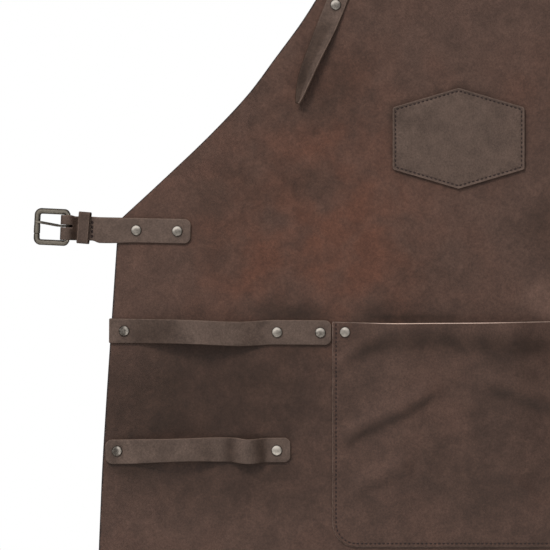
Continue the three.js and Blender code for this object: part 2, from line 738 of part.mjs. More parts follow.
function addBuckleStrap() {
  const group = waistGroup(-1);
  addPiece(group, 'buckle_strap', buckleStrapGeometry(group), STRAP_LEATHER);
  const hinge = new THREE.Group();
  hinge.position.set(-outwards(BAR_X), FOLD_MIDDLE, 0);
  hinge.rotation.x = Math.PI / 2;
  group.add(hinge);
  addPiece(hinge, 'buckle_frame', frameGeometry(), BUCKLE_METAL).position.y = FRAME_RISE;
  addPiece(hinge, 'buckle_prong', prongGeometry(), BUCKLE_METAL).position.y = SLOT_RISE;
  const keeper = addPiece(group, 'strap_keeper', keeperGeometry(), STRAP_LEATHER);
  keeper.position.set(-outwards(KEEPER_X), FOLD_MIDDLE, 0);
  const turned = new THREE.Matrix4().makeBasis(TOWARDS_VIEWER, UP, new THREE.Vector3(-1, 0, 0));
  keeper.quaternion.setFromRotationMatrix(new THREE.Matrix4().makeRotationY(KEEPER_LEAN).multiply(turned));
  addRivets('buckle_strap', waistSeats(-1), STRAP_THICK);
}

// Free waist strap: flat on the panel, then it turns face up, droops and hangs

function bendAt(bend, run) {
  return bend.angle * smooth((run - bend.start) / bend.run);
}

function waistStations() {
  const edge = outwards(panelHalf(WAIST_DROP));
  const inner = outwards(WAIST_END);
  const y = -(GAP + STRAP_THICK / 2);
  const half = STRAP_WIDTH / 2;
  const stations = cornerStops(WAIST_CORNER).map((stop) => {
    const narrow = half - cornerInset(stop, WAIST_CORNER);
    return { centre: new THREE.Vector3(inner + stop, y, 0), out: TOWARDS_VIEWER, low: -narrow, high: narrow };
  });
  const centre = new THREE.Vector3(edge, y, 0);
  const steps = WAIST_FREE / WAIST_STEP;
  for (let i = 0; i <= steps; i++) {
    const run = i * WAIST_STEP;
    const droop = bendAt(DROOP, run);
    const roll = bendAt(ROLL_OVER, run) + bendAt(ROLL_BACK, run);
    const upper = new THREE.Vector3(Math.sin(droop), 0, Math.cos(droop));
    const out = TOWARDS_VIEWER.clone().multiplyScalar(Math.cos(roll)).addScaledVector(upper, Math.sin(roll));
    const toTip = Math.min((WAIST_FREE - run) / WAIST_POINT, 1);
    const width = THREE.MathUtils.lerp(WAIST_TIP_HALF, half, toTip);
    stations.push({ centre: centre.clone(), out, low: -width, high: width });
    centre.addScaledVector(new THREE.Vector3(Math.cos(droop), 0, -Math.sin(droop)), WAIST_STEP);
  }
  return stations;
}

function punchTools(stations) {
  const last = stations.length - 1;
  return Array.from({ length: PUNCH_COUNT }, (_, k) => {
    const i = last - Math.round((PUNCH_FIRST + k * PUNCH_PITCH) / WAIST_STEP);
    const along = stations[i + 1].centre.clone().sub(stations[i - 1].centre).normalize();
    const across = stations[i].out.clone().cross(along).normalize();
    const matrix = new THREE.Matrix4().makeBasis(along, across.clone().cross(along), across);
    return drillTool(matrix.setPosition(stations[i].centre), PUNCH_RADIUS);
  });
}

function addWaistStrap() {
  const group = waistGroup(1);
  const stations = waistStations();
  const tools = [...localTools(group, waistSeats(1)), ...punchTools(stations)];
  addPiece(group, 'waist_strap', cut(strapSolid(stations, STRAP_THICK), tools), STRAP_LEATHER);
  addRivets('waist_strap', waistSeats(1), STRAP_THICK);
}

// Neck strap: loose tail, left leg, arch over the origin, right leg and its plain end

function neckOnPanel(x, drop) {
  return panelFront(x, drop) - GAP - STRAP_THICK / 2;
}

function tailStations() {
  const tip = TAIL[0].drop;
  return Array.from({ length: TAIL_STEPS }, (_, i) => {
    const drop = THREE.MathUtils.lerp(tip, NECK_RIVET_DROP, (i / TAIL_STEPS) ** TAIL_CROWDING);
    const read = (column) => columnAt(TAIL, drop, column);
    const y = neckOnPanel(read('x'), drop) - read('lift');
    const half = read('half');
    const centre = new THREE.Vector3(read('x'), y, -drop);
    return { centre, out: TOWARDS_VIEWER, low: -half, high: half, cup: read('cup') };
  });
}

// One leg from its rivet up to the arch: side is -1 on the left and 1 on the right
function legStations(side) {
  const lean = new THREE.Vector3(-side * Math.sin(NECK_LEAN), 0, Math.cos(NECK_LEAN));
  const outer = new THREE.Vector3(side * Math.cos(NECK_LEAN), 0, Math.sin(NECK_LEAN));
  const length = (NECK_RIVET_X - NECK_ARCH * Math.cos(NECK_LEAN)) / Math.sin(NECK_LEAN);
  const half = NECK_WIDTH / 2;
  const y = neckOnPanel(side * NECK_RIVET_X, NECK_RIVET_DROP);
  const foot = new THREE.Vector3(side * NECK_RIVET_X, y, -NECK_RIVET_DROP);
  return Array.from({ length: LEG_STEPS }, (_, i) => {
    const run = (length * i) / LEG_STEPS;
    const turned = smooth((run - NECK_TWIST_START) / (length - NECK_TWIST_START));
    const roll = (turned * Math.PI) / 2;
    const centre = foot.clone().addScaledVector(lean, run);
    centre.y = y * (1 - turned);
    const out = TOWARDS_VIEWER.clone().multiplyScalar(Math.cos(roll)).addScaledVector(outer, Math.sin(roll));
    return { centre, out, low: -half, high: half, cup: 0 };
  });
}

function archStations() {
  const half = NECK_WIDTH / 2;
  const middle = new THREE.Vector3(0, 0, STRAP_THICK / 2 - NECK_ARCH);
  return Array.from({ length: ARCH_STEPS + 1 }, (_, i) => {
    const angle = THREE.MathUtils.lerp(Math.PI - NECK_LEAN, NECK_LEAN, i / ARCH_STEPS);
    const out = new THREE.Vector3(Math.cos(angle), 0, Math.sin(angle));
    return { centre: middle.clone().addScaledVector(out, NECK_ARCH), out, low: -half, high: half, cup: 0 };
  });
}

function neckEndStations() {
  const lean = new THREE.Vector3(Math.sin(NECK_LEAN), 0, -Math.cos(NECK_LEAN));
  const y = neckOnPanel(NECK_RIVET_X, NECK_RIVET_DROP);
  const foot = new THREE.Vector3(NECK_RIVET_X, y, -NECK_RIVET_DROP);
  const stops = cornerStops(NECK_CORNER).reverse();
  return stops.map((stop) => {
    const half = NECK_WIDTH / 2 - cornerInset(stop, NECK_CORNER);
    const centre = foot.clone().addScaledVector(lean, NECK_END - stop);
    return { centre, out: TOWARDS_VIEWER, low: -half, high: half, cup: 0 };
  });
}

function addNeckStrap() {
  const stations = [
    ...tailStations(),
    ...legStations(-1),
    ...archStations(),
    ...legStations(1).reverse(),
    ...neckEndStations(),
  ];
  const strap = strapSolid(stations, STRAP_THICK, 2);
  addPiece(apron, 'neck_strap', cut(strap, neckSeats.map((seat) => drillTool(seat))), STRAP_LEATHER);
  addRivets('neck_strap', neckSeats, STRAP_THICK);
}

function addPanel() {
  const seats = [
    ...neckSeats,
    ...waistSeats(-1),
    ...waistSeats(1),
    ...pocketSeats,
    ...loopSeats(TOOL_STRAP),
    ...loopSeats(TOWEL_STRAP),
  ];
  addPiece(apron, 'apron_panel', cut(panelGeometry(), seats.map((seat) => drillTool(seat))), LEATHER);
}

function addPocket() {
  addPiece(apron, 'pocket', cut(pocketGeometry(), pocketSeats.map((seat) => drillTool(seat))), LEATHER);
  addRivets('pocket', pocketSeats, POCKET_THICK);
}

function addLoop(strap) {
  addPiece(apron, strap.name, loopGeometry(strap), STRAP_LEATHER);
  addRivets(strap.name, loopSeats(strap), STRAP_THICK);
}

addPanel();
addPatch();
addPocket();
addLoop(TOOL_STRAP);
addLoop(TOWEL_STRAP);
addBuckleStrap();
addWaistStrap();
addNeckStrap();

export default apron;
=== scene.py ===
"""A leather work apron, dressed around its solids: grain leather, suede back, stitches, rivets and buckle.

Shapes are worked out in millimetres, with heights as drops below the top of the neck loop and widths from
the centre line. Meshes are made in metres, in the frame of the solids.
"""

import math

import bpy
import numpy as np
from mathutils import Matrix, Vector


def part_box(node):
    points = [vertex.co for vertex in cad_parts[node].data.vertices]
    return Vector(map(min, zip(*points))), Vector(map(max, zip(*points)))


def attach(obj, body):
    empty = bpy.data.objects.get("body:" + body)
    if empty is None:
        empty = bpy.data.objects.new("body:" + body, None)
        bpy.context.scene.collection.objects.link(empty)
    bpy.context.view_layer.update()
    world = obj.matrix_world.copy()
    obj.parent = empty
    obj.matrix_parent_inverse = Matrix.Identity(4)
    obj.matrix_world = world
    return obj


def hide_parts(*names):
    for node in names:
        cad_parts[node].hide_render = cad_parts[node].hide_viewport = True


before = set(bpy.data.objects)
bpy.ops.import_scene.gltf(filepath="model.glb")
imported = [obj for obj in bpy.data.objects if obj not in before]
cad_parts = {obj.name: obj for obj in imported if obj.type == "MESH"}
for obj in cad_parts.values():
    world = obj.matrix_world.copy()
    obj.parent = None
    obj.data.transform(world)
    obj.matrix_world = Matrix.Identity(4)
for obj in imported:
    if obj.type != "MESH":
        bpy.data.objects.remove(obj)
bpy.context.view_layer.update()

bl_info = {
    "name": "Leather apron",
    "version": (1, 0, 0),
    "blender": (4, 5, 0),
    "location": "3D View > Sidebar > Apron",
    "description": "Makes the leather, stitches, rivets, buckle and stage of a work apron",
    "category": "Mesh",
}

MM = 0.001
BODY = "apron"
FRONT_SIDE, BACK_SIDE, EDGE_SIDE = range(3)
FRONT = np.array([0.0, -1.0, 0.0])


def box_mm(node):
    """Lowest and highest corner of a solid, in millimetres."""
    return tuple(np.array(corner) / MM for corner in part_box(node))


PANEL_LOW, PANEL_HIGH = box_mm("apron_panel")
POCKET_LOW, POCKET_HIGH = box_mm("pocket")
TOOL_LOW, TOOL_HIGH = box_mm("tool_strap")
TOWEL_LOW, TOWEL_HIGH = box_mm("towel_strap")

# Leather thicknesses, the gap between layers and the rounding of cut edges
PANEL_THICK = 2.0
POCKET_THICK = 1.8
PATCH_THICK = 2.0
STRAP_THICK = 2.5
KEEPER_THICK = 1.8
GAP = 0.35
RIM = 0.9
RIM_STOPS = (0.0, 0.12, 0.4, 0.9)
RIM_LEAST = 0.45
RAW_EDGE = 0.45

# Panel outline: (drop, half width) rows of the armhole and of the side below it
BIB_TOP, HEM = -PANEL_HIGH[2], -PANEL_LOW[2]
BIB_CORNER = 9.0
HEM_CORNER = 46.0
ARMHOLE = ((223, 129.5), (265, 155.5), (302, 182.5), (340, 211), (380, 248.5), (420, 290.5), (466, 340.5))
SIDE = ((466, 340.5), (540, 345.5), (660, 353.5), (732, 357.5), (1098, 372))
PANEL_STEP = 5.0
PANEL_COLUMNS = 132
CORNER_STEPS = 12

# Drape: the sides turn back, the bib's top bows back and flutes (at, width, depth) deepen towards the hem
SIDE_TURN = math.radians(5)
TURN_START, TURN_END = 213.0, 263.0
BIB_BOW, BIB_BOW_HALF, BIB_BOW_END = 6.0, 105.0, 326.0
FLUTE_START = 800.0
FLUTES = ((-262, 150, 15), (-96, 170, 17), (84, 150, 13), (246, 170, 18))

# Soft clouds: (x, drop, half width, half height, amount), and paler places below zero. The red clouds are
# reddish tone in the dye
RED_CLOUDS = (
    (-146, 450, 122, 120, 0.52),
    (-198, 526, 56, 44, 0.4),
    (-92, 526, 46, 50, 0.3),
    (-126, 352, 50, 50, 0.25),
    (-150, 478, 50, 36, 0.15),
    (-74, 452, 24, 26, 0.2),
    (88, 330, 44, 34, 0.25),
    (-58, 500, 70, 60, 0.16),
    (-212, 500, 60, 46, 0.12),
)
# Darker tone of the dye together with painted shade and shadow: shadows painted under and above the straps,
# above the pocket's mouth and beside the tail, and a broad painted shade over the skirt between the loop
# straps; some paler places are painted light that lifts a strap's shadow
DARK_TONE_AND_SHADOW_CLOUDS = (
    (-262, 632, 120, 46, 0.95),
    (-160, 640, 60, 60, 0.25),
    (-270, 667, 90, 15, 0.55),
    (-322, 655, 46, 30, 0.35),
    (-328, 713, 26, 10, 0.75),
    (-282, 712, 24, 8, -0.4),
    (-222, 425, 46, 30, 0.3),
    (-158, 432, 40, 22, 0.2),
    (-328, 505, 24, 24, -0.35),
    (-45, 518, 40, 20, 0.2),
    (-30, 446, 40, 14, -0.2),
    (68, 432, 24, 22, -0.35),
    (64, 318, 24, 20, -0.25),
    (-220, 725, 150, 36, 0.55),
    (-164, 558, 34, 10, 0.9),
    (-78, 553, 34, 10, 0.45),
    (-60, 563, 46, 5, 0.7),
    (-8, 565, 100, 4, 0.35),
    (90, 549, 13, 11, -0.5),
    (60, 547, 26, 12, -0.25),
    (-146, 424, 26, 15, 0.5),
    (-247, 488, 24, 40, 0.5),
    (86, 474, 22, 36, 0.65),
    (80, 538, 16, 26, -0.65),
    (-243, 545, 16, 16, -0.4),
    (-174, 476, 22, 14, -0.25),
    (-76, 438, 18, 34, -0.25),
    (4, 478, 60, 34, -0.2),
    (-240, 594, 108, 7, 0.25),
    (-148, 590, 18, 12, 0.4),
    (-112, 322, 28, 34, 0.55),
    (-142, 356, 26, 24, 0.35),
    (-212, 684, 26, 6, 0.85),
    (-324, 682, 26, 5, 0.6),
    (-212, 712, 44, 8, 0.15),
)
POCKET_DARK = (
    (62, 591, 50, 12, 0.95),
    (-40, 587, 54, 13, 0.95),
    (-100, 588, 20, 10, 0.3),
    (70, 614, 34, 14, 0.2),
    (14, 657, 12, 8, 0.3),
    (-20, 702, 16, 24, 0.2),
    (-10, 700, 170, 110, 0.25),
)
# Darker tone along the loop straps, with painted shade in the towel strap's valleys where it dips to the
# panel
STRAP_DARK_AND_SHADE = (
    (-318, 576, 24, 40, 0.75),
    (-288, 576, 18, 40, 0.4),
    (-204, 576, 16, 40, 0.25),
    (-346, 696, 9, 40, 0.25),
    (-228, 696, 7, 40, 0.85),
    (-197, 696, 8, 40, 0.85),
    (-300, 696, 22, 40, 0.3),
    (-258, 696, 14, 40, 0.2),
)

# Hexagonal patch on the bib: its edge curls up outside the seam and its middle swells inside it
PATCH_DROP = 383.5
PATCH_HALF_WIDTH = 66.0
PATCH_HALF_HEIGHT = 50.5
PATCH_HALF_SIDE = 31.0
PATCH_LEAN = (PATCH_HALF_HEIGHT - PATCH_HALF_SIDE) / PATCH_HALF_WIDTH
PATCH_CORNER, PATCH_LEAST_CORNER = 3.0, 0.4
PATCH_PILLOW, PATCH_PILLOW_RUN = 0.5, 14.0
PATCH_CURL = 0.8
# Painted shade in a ring on the panel round the patch, where its raised edge shades the leather: how dark,
# and over what width
PATCH_SHADE_RING, PATCH_SHADE_RING_WIDTH = 0.4, 5.0
PATCH_SEAM_IN = 3.0
PATCH_RINGS = (*RIM_STOPS, 1.6, 2.1, 2.6, 3.0, 3.4, 3.9, 4.6, 6.5)
PATCH_INNER_RINGS = 12

# Pocket: (x, dip) rows of its mouth, and folds along crests of (x, drop) points, with the strength of the
# painted shade in each fold's hollow and of the painted highlight above its crest
MOUTH_RISE = 1.0
POCKET_TOP = -POCKET_HIGH[2] - MOUTH_RISE
POCKET_HEIGHT = POCKET_HIGH[2] - POCKET_LOW[2] + MOUTH_RISE
POCKET_BOTTOM = POCKET_TOP + POCKET_HEIGHT
POCKET_HALF = POCKET_HIGH[0]
POCKET_DIP = (
    (-126, 0.6), (-98, 1.4), (-68, 2.1), (-38, 1.9), (-8, 1.7), (22, 1.5), (52, 1.0), (80, 0.4), (126, 0.0)
)
POCKET_CORNER = 24.0
POCKET_BORDER = 20.0
POCKET_RISE = 55.0
POCKET_BULGE = 12.0
POCKET_LOW_SHARE = 0.62
POCKET_STEP = 3.0
POCKET_COLUMNS = 78
POCKET_FIRST_ROW = 5.0
MOUTH_BEVEL = 0.8
MOUTH_LEAST = 0.08
MOUTH_RAW = MOUTH_BEVEL + 0.2
MOUTH_STOPS = (0.0, 0.2, 0.4, 0.6, 0.8, 1.5)
# Shares of the pale raw colour on the pocket's cut edge: along the mouth it is painted brighter where the
# mouth is lit and dimmer to the right, a painted highlight; a little along every edge is painted light that
# lifts the shade there, and more near the top of the sides
MOUTH_LIT_FROM, MOUTH_LIT_RUN = -100.0, 36.0
MOUTH_DIM, MOUTH_DIM_FROM, MOUTH_DIM_RUN = 0.72, 20.0, 44.0
EDGE_PALE, MOUTH_PALE = 0.3, 0.7
SIDE_PALE, SIDE_PALE_RUN = 0.3, 30.0
SEAM_STOPS = (*RIM_STOPS, 1.7, 2.4, 3.0, 3.5, 4.0, 4.7, 5.8)
SEAM_IN = 3.5
SEAM_HALF = 0.8
SEAM_DEPTH = 0.4
SEAM_START = 1.6
POCKET_FOLDS = (
    {
        "crest": ((-130, 691), (-108, 680), (-84, 666.5), (-58, 655), (-34, 641.5), (-12, 632)),
        "height": 4.8, "above": 14, "below": 5.8, "dye_and_shade": 0.5,
    },
    {
        "crest": ((14, 621), (41, 630.5), (66, 639.5), (91, 648.5), (126, 661)),
        "height": 3.6, "above": 8, "below": 7, "dye_and_shade": 0.42,
    },
    {
        "crest": ((-132, 614), (-106, 598), (-84, 587), (-62, 581)),
        "height": 2.8, "above": 9, "below": 6.5, "dye_and_shade": 0.3,
    },
    {
        "crest": ((-116, 740), (-96, 730), (-78, 722), (-60, 714), (-38, 707)),
        "height": 3.3, "above": 12, "below": 7, "dye_and_shade": 0.2,
    },
    {
        "crest": ((26, 712), (46, 722), (66, 735), (88, 754)),
        "height": 2.4, "above": 7, "below": 9, "dye_and_shade": 0.2,
    },
)
CREST_FADE = 24.0
CREST_IN = 6.0
# Painted shade sits in the hollow a little below each crest, and a painted highlight above it
CREST_HOLLOW = 1.1
CREST_HIGHLIGHT, CREST_HIGHLIGHT_AT, CREST_HIGHLIGHT_HALF = 0.5, 8.5, 5.5

# Loop straps on the left: each hump is (from, to, height, hang, narrowing on each side), and a skew above 1
# moves the strap's sag towards its right rivet
STRAP_WIDTH = 24.8
STRAP_STEP = 2.4
STRAP_COLUMNS = 9
# How far the rubbed rim is pushed off the strap's shaded edge, so that its lighter colour shows on the lit
# edge only: wear with a painted highlight
SHADED_SIDE_RIM_SHIFT = 1.1
TOOL_STRAP = {
    "node": "tool_strap",
    "start": TOOL_LOW[0],
    "end": TOOL_HIGH[0],
    "drops": (575.8, 577.6),
    "sag": 1.9,
    "skew": 2.3,
    "corners": (1.2, 6.5),
    "held": (-334.0, -181.5),
    "humps": ((-326, -190, 15, 0.0, 0.3),),
}
TOWEL_STRAP = {
    "node": "towel_strap",
    "start": TOWEL_LOW[0],
    "end": TOWEL_HIGH[0],
    "drops": (697.1, 694.7),
    "sag": -1.6,
    "skew": 1.0,
    "corners": (7.0, 6.5),
    "held": (-341.1, -181.8),
    "humps": ((-333, -227, 11, 0.0, 0.75), (-229, -191, 8, 1.5, 0.0)),
}

# Waist straps: the rivets, the tilt, and the fold of the left one round the buckle's bar
WAIST_RIVET = 321.8
WAIST_END = 267.6
WAIST_DROP = 475.2
WAIST_TILT = math.radians(1.2)
WAIST_CORNER = 6.5
BAR_X = 391.2
BAR_RADIUS = 2.1
LAYER_GAP = 0.4
EYE_CLEARANCE = 0.28
EYE_HALF = 0.535
FOLD_CLEARANCE = 1.45
FOLD_REACH = 1.5
FOLD_SHADE, FOLD_SHADE_FROM, FOLD_SHADE_RUN = 0.9, 0.78, 1.2
FOLD_RUN, FOLD_STEPS, BEND_STEPS = 11.0, 8, 24
FOLD_UP, FOLD_UP_START, FOLD_UP_RUN = 13.9, 2.0, 5.0
# Painted shade in the crease between the fold and the keeper: how far past the bar, and its half width
FOLD_CREASE_SHADE_AT, FOLD_CREASE_SHADE_HALF = 6.6, 5.2
FLAP_END_X = 364.0
FIRST_STOP, STOP_ROOM = 8.0, 1.0
NARROW_X, NARROW_RUN = 366.0, 7.0
NARROW_UP, NARROW_DOWN = 12.7, 11.3
NARROW_SHADE = 0.15
SLOT_HALF, SLOT_RISE = 1.36, 2.8
SLOT_BEFORE, SLOT_AFTER_FRONT, SLOT_AFTER_BACK = 10.0, 5.9, 1.8
SLOT_STEP, SLOT_END_POINTS = 1.5, 13
BUCKLE_LEAN = math.radians(1.5)
SPREAD_DOWN, SPREAD_RUN = 1.2, 30.0
FOLD_SEAM_X = 366.4
FOLD_SEAM_HALF = 9.2
FOLD_SEAM_SINK = 0.25
FOLD_MIDDLE = LAYER_GAP / 2 - GAP
LAYER_OFFSET = (STRAP_THICK + LAYER_GAP) / 2
FOLD_RADIUS = BAR_RADIUS + FOLD_CLEARANCE + STRAP_THICK / 2

# Buckle frame and prong, in a plane of their own: x along the strap and y up, with the hinge bar at x = 0
FRAME_HALF_HEIGHT = 18.5
FRAME_REACH = 34.2
FRAME_BAND = 5.7
FRAME_FAR_BAND = 6.2
FRAME_THICK = 4.2
FRAME_CORNER = 7.2
FRAME_RISE = 1.2
FRAME_HEEL, FRAME_HEEL_LEAST = 1.0, 0.01
FRAME_FAR_RUN = 6.0
FRAME_SEAM_AT = -7.4
FRAME_SEAM_HALF = 0.45
FRAME_SEAM_DEPTH = 0.16
FRAME_SLEEVE, FRAME_SLEEVE_RUN, FRAME_SLEEVE_BELOW = 0.05, 0.6, 2.0
# How fast the rubbed brightness of the front crest falls off towards the band's sides: antique wear,
# steepened as painted shade across the rounded bar
FRAME_WEAR_AND_SHADE_POWER = 3.6
FRAME_SIDES, BAR_SIDES, PRONG_SIDES = 28, 24, 18
BAR_PAST_HEEL, BAR_POINTS = 1.5, 9
PRONG_RADIUS = 1.35
PRONG_TIP_RISE = 3.2
PRONG_PAST_EDGE = 1.6
PRONG_EYE_START, PRONG_EYE_END = math.radians(-50), math.radians(215)
PRONG_EYE_POINTS, PRONG_POINTS = 11, 90
PRONG_BEND = 8.0
PRONG_TIP_SHARE, PRONG_TIP_RUN = 0.62, 3.5
PRONG_FLAT_BEFORE, PRONG_FLAT_RUN = 1.5, 2.5
PRONG_WAIST, PRONG_WAIST_RUN = 0.15, 3.0
PRONG_WORN_TIP, PRONG_WORN_RUN = 4.5, 3.0
# Painted highlight on the prong where it loops round the bar in the slot's shade: how far from the eye, and
# its half length
PRONG_EYE_HIGHLIGHT_AT, PRONG_EYE_HIGHLIGHT_HALF = 2.3, 2.0
PRONG_DULL, PRONG_SIDE_WEAR, PRONG_FACE_WEAR = 0.4, 0.2, 0.5

# Keeper: a band round the folded strap
KEEPER_X = 374.6
KEEPER_WIDTH = 11.4
KEEPER_COLUMNS = 6
KEEPER_UP, KEEPER_DOWN = 17.4, 14.6
KEEPER_ROOM = 6.2
KEEPER_LEAN = math.radians(3.5)
KEEPER_CORNER = 2.6
KEEPER_BUTT = 0.15
KEEPER_SHADE = 0.5

# Free waist strap on the right: bends are (start, run, angle) along it
WAIST_FREE = 600.0
WAIST_STEP, WAIST_FINE_STEP = 12.5, 4.0
ROLL_OVER = (6, 120, math.radians(90))
ROLL_BACK = (210, 280, math.radians(-62))
DROOP = (40, 150, math.radians(90))
WAIST_POINT = 20.0
WAIST_TIP_HALF = 3.0
PUNCH_RADIUS, PUNCH_DEPTH, PUNCH_SIDES = 2.0, 6.0, 20
PUNCH_FIRST, PUNCH_PITCH, PUNCH_COUNT = 75.0, 25.0, 6

# Neck strap, and its tail as (drop, x, half width, lift, cup) rows
NECK_WIDTH = 20.0
NECK_RIVET_X = 123.0
NECK_RIVET_DROP = 250.0
NECK_LEAN = math.radians(20)
NECK_ARCH = 45.0
NECK_END = 17.0
NECK_CORNER = 6.0
NECK_TWIST_START = 30.0
LEG_STEPS, ARCH_STEPS, TAIL_STEPS = 13, 12, 14
TAIL = (
    (250, -123.0, 10.0, 0.0, 0.0),
    (273, -132.6, 10.0, 1.2, 1.6),
    (302, -145.2, 8.5, 4.0, 4.0),
    (316, -150.9, 7.7, 5.0, 4.0),
    (327, -154.8, 6.7, 5.6, 3.6),
    (339, -158.2, 4.9, 6.1, 2.8),
    (349, -160.8, 2.2, 6.5, 1.6),
)
CUP_LEFT_SHARE = 0.4
CUP_LEFT_POWER, CUP_RIGHT_POWER = 1.5, 1.3
NECK_COLUMNS = 14
NECK_FINE_STEP = 3.0
CREASE_AT = 0.6
# Painted shade on the tail: its left part, turned away from the light, darker than its lit right edge, and
# none where the strap lies flat
TAIL_SHADE_LEFT, TAIL_SHADE_RIGHT = 0.72, 0.42
TAIL_SHADE_FROM, TAIL_SHADE_RUN, TAIL_SHADE_CUP = 0.2, 0.2, 2.0

# Rivets: domed cap in front, flat cap behind
RIVET_CAP = 5.3
RIVET_DOME, RIVET_DOME_POWER = 1.9, 0.75
RIVET_RIM = 0.8
RIVET_SOFT = 0.35
RIVET_SHANK = 1.7
RIVET_BACK = 4.4
RIVET_BACK_THICK = 1.2
RIVET_SEGMENTS, RIVET_DOME_POINTS, RIVET_RIM_STEPS = 40, 15, 5
# Painted highlight arc on one side of each dome, where it lies across the cap and how it fades round it; and
# a painted shadow: the cap's rim left dark, as a dark outline round it
RIVET_HIGHLIGHT_AT, RIVET_HIGHLIGHT_HALF = 0.62, 0.3
RIVET_HIGHLIGHT_SIDE, RIVET_HIGHLIGHT_RUN = -0.1, 0.6
RIVET_SHADOW_RIM, RIVET_SHADOW_RUN = 0.95, 0.12
# How far each cap is rubbed in the middle, how bright the painted highlight is on one side, and the angle of
# that side
RIVET_WEAR_AND_HIGHLIGHT = {
    "tool_strap_rivet_1": (0.15, 0.75, math.radians(10)),
    "tool_strap_rivet_3": (0.36, 0.95, math.radians(90)),
    "towel_strap_rivet_1": (0.14, 0.8, math.radians(15)),
    "towel_strap_rivet_2": (0.75, 1.0, math.radians(60)),
    "pocket_rivet_1": (0.55, 1.0, math.radians(55)),
}
USUAL_WEAR_AND_HIGHLIGHT = (0.42, 1.0, math.radians(105))

# Stitches: the gap is a share of the pitch, and the other sizes are shares of the thread's radius
STITCH_GAP = 0.24
STITCH_BOW, STITCH_SINK = 1.15, 0.75
STITCH_FLATNESS = 0.8
STITCH_SIDES, STITCH_POINTS = 8, 9
STRAP_THREAD = 1.7

# Each leather: ground, clouds, shade and rim of its front, the rubbed rim's width, and its cut edge's colours
LEATHERS = {
    "panel": (("panel", "cloud", "shade", "edge"), 2.2, ("edge", "shade")),
    "pocket": (("panel", "cloud", "shade", "strap_dark"), 1.2, ("strap_dark", "shade")),
    "strap": (("strap", "panel", "strap_dark", "strap_rim"), 1.4, ("strap", "strap_dark")),
    "patch": (("patch", "panel", "strap_dark", "strap_rim"), 1.1, ("strap", "strap_dark")),
}

# Stage: the floor, where the lights come from, and where the camera looks on the plane of the bib.
# The soft lights have a range of facing and their shares of the fill at its ends
FLOOR_X = 0.04
FLOOR_SIDES = 96
FLOOR_WORN = 0.94
FLOOR_FADE_FROM, FLOOR_FADE_TO = 0.45, 0.98
SOFT_LIGHT_FROM = (-0.35, -0.62, 0.7)
SOFT_LIGHT_RANGE, SOFT_LIGHT_SHARES = (0.25, 0.97), (0.5, 2.9)
BACK_LIGHT_FROM = (0.2, 0.9, 0.4)
BACK_LIGHT_RANGE, BACK_LIGHT_SHARES = (0.1, 1.0), (0.0, 1.6)
KEY_FROM = Vector((-0.6, -1.5, 1.5))
KEY_SIZE = 0.7
VIEW_X = -183.5
VIEW_DROP = 520.0
SENSOR = 36.0


def display_colour(red, green, blue):
    """Colour as the renderer uses it, from the 0 to 255 numbers of a screen."""
    share = np.array([red, green, blue]) / 255
    return tuple(np.where(share <= 0.04045, share / 12.92, ((share + 0.055) / 1.055) ** 2.4).tolist())


def colour_setting(name, description, default):
    """A colour that a user may change."""
    return bpy.props.FloatVectorProperty(
        name=name, description=description, default=default, subtype="COLOR", size=3, min=0, max=1
    )


def length_setting(name, description, default):
    """A length that a user may change."""
    return bpy.props.FloatProperty(name=name, description=description, default=default, min=0, unit="LENGTH")


class ApronLeather(bpy.types.PropertyGroup):
    """Colours and grain of the leather."""

    panel: colour_setting("Panel", "Brown of the panel and the pocket", display_colour(77, 58, 50))
    cloud: colour_setting("Clouds", "Reddish clouds in the panel's dye", display_colour(88, 57, 45))
    # Shade and strap creases are the colours that the painted shade mixes towards, as well as darker tone of
    # the leather
    shade: colour_setting("Shade", "Darker, duller places on the panel", display_colour(50, 36, 29))
    strap: colour_setting("Straps", "Greyer brown of the straps", display_colour(88, 73, 65))
    strap_dark: colour_setting("Strap creases", "Darker places on the straps", display_colour(47, 34, 27))
    strap_rim: colour_setting(
        "Strap edges", "Rubbed edges of the straps and the patch", display_colour(108, 90, 80)
    )
    patch: colour_setting("Patch", "Greyer brown of the patch", display_colour(84, 69, 61))
    suede: colour_setting("Suede", "The back of the leather", display_colour(112, 86, 70))
    edge: colour_setting("Dyed edge", "Dark dye on the panel's cut edge", display_colour(20, 23, 26))
    raw_edge: colour_setting("Raw edge", "Pale cut edge at the pocket's mouth", display_colour(196, 171, 157))
    grain: length_setting("Grain", "Width of one pebble of the grain", 0.0012)
    relief: length_setting("Relief", "Depth of the grain", 0.00012)


class ApronThread(bpy.types.PropertyGroup):
    """Stitching."""

    colour: colour_setting("Thread", "Dark waxed thread", display_colour(40, 25, 23))
    radius: length_setting("Radius", "Radius of the thread", 0.0007)
    pocket_pitch: length_setting("Pocket pitch", "Length of a stitch on the pocket", 0.0043)
    patch_pitch: length_setting("Patch pitch", "Length of a stitch on the patch", 0.0043)
    strap_pitch: length_setting("Strap pitch", "Length of a stitch across the buckle strap", 0.0047)


class ApronMetal(bpy.types.PropertyGroup):
    """Finish of the buckle and the rivets."""

    buckle: colour_setting("Buckle", "Rubbed metal of the buckle", display_colour(144, 136, 124))
    # The buckle's tarnish also serves as painted shade on the sides of its bars
    buckle_dark: colour_setting("Buckle tarnish", "Dark finish left on its sides", display_colour(46, 39, 35))
    rivet: colour_setting("Rivets", "Rubbed metal of the rivets", display_colour(224, 214, 202))
    # The rivet tarnish also paints the dark rim round each cap, a painted shadow
    rivet_dark: colour_setting("Rivet tarnish", "Dark finish left at the rims", display_colour(48, 41, 36))


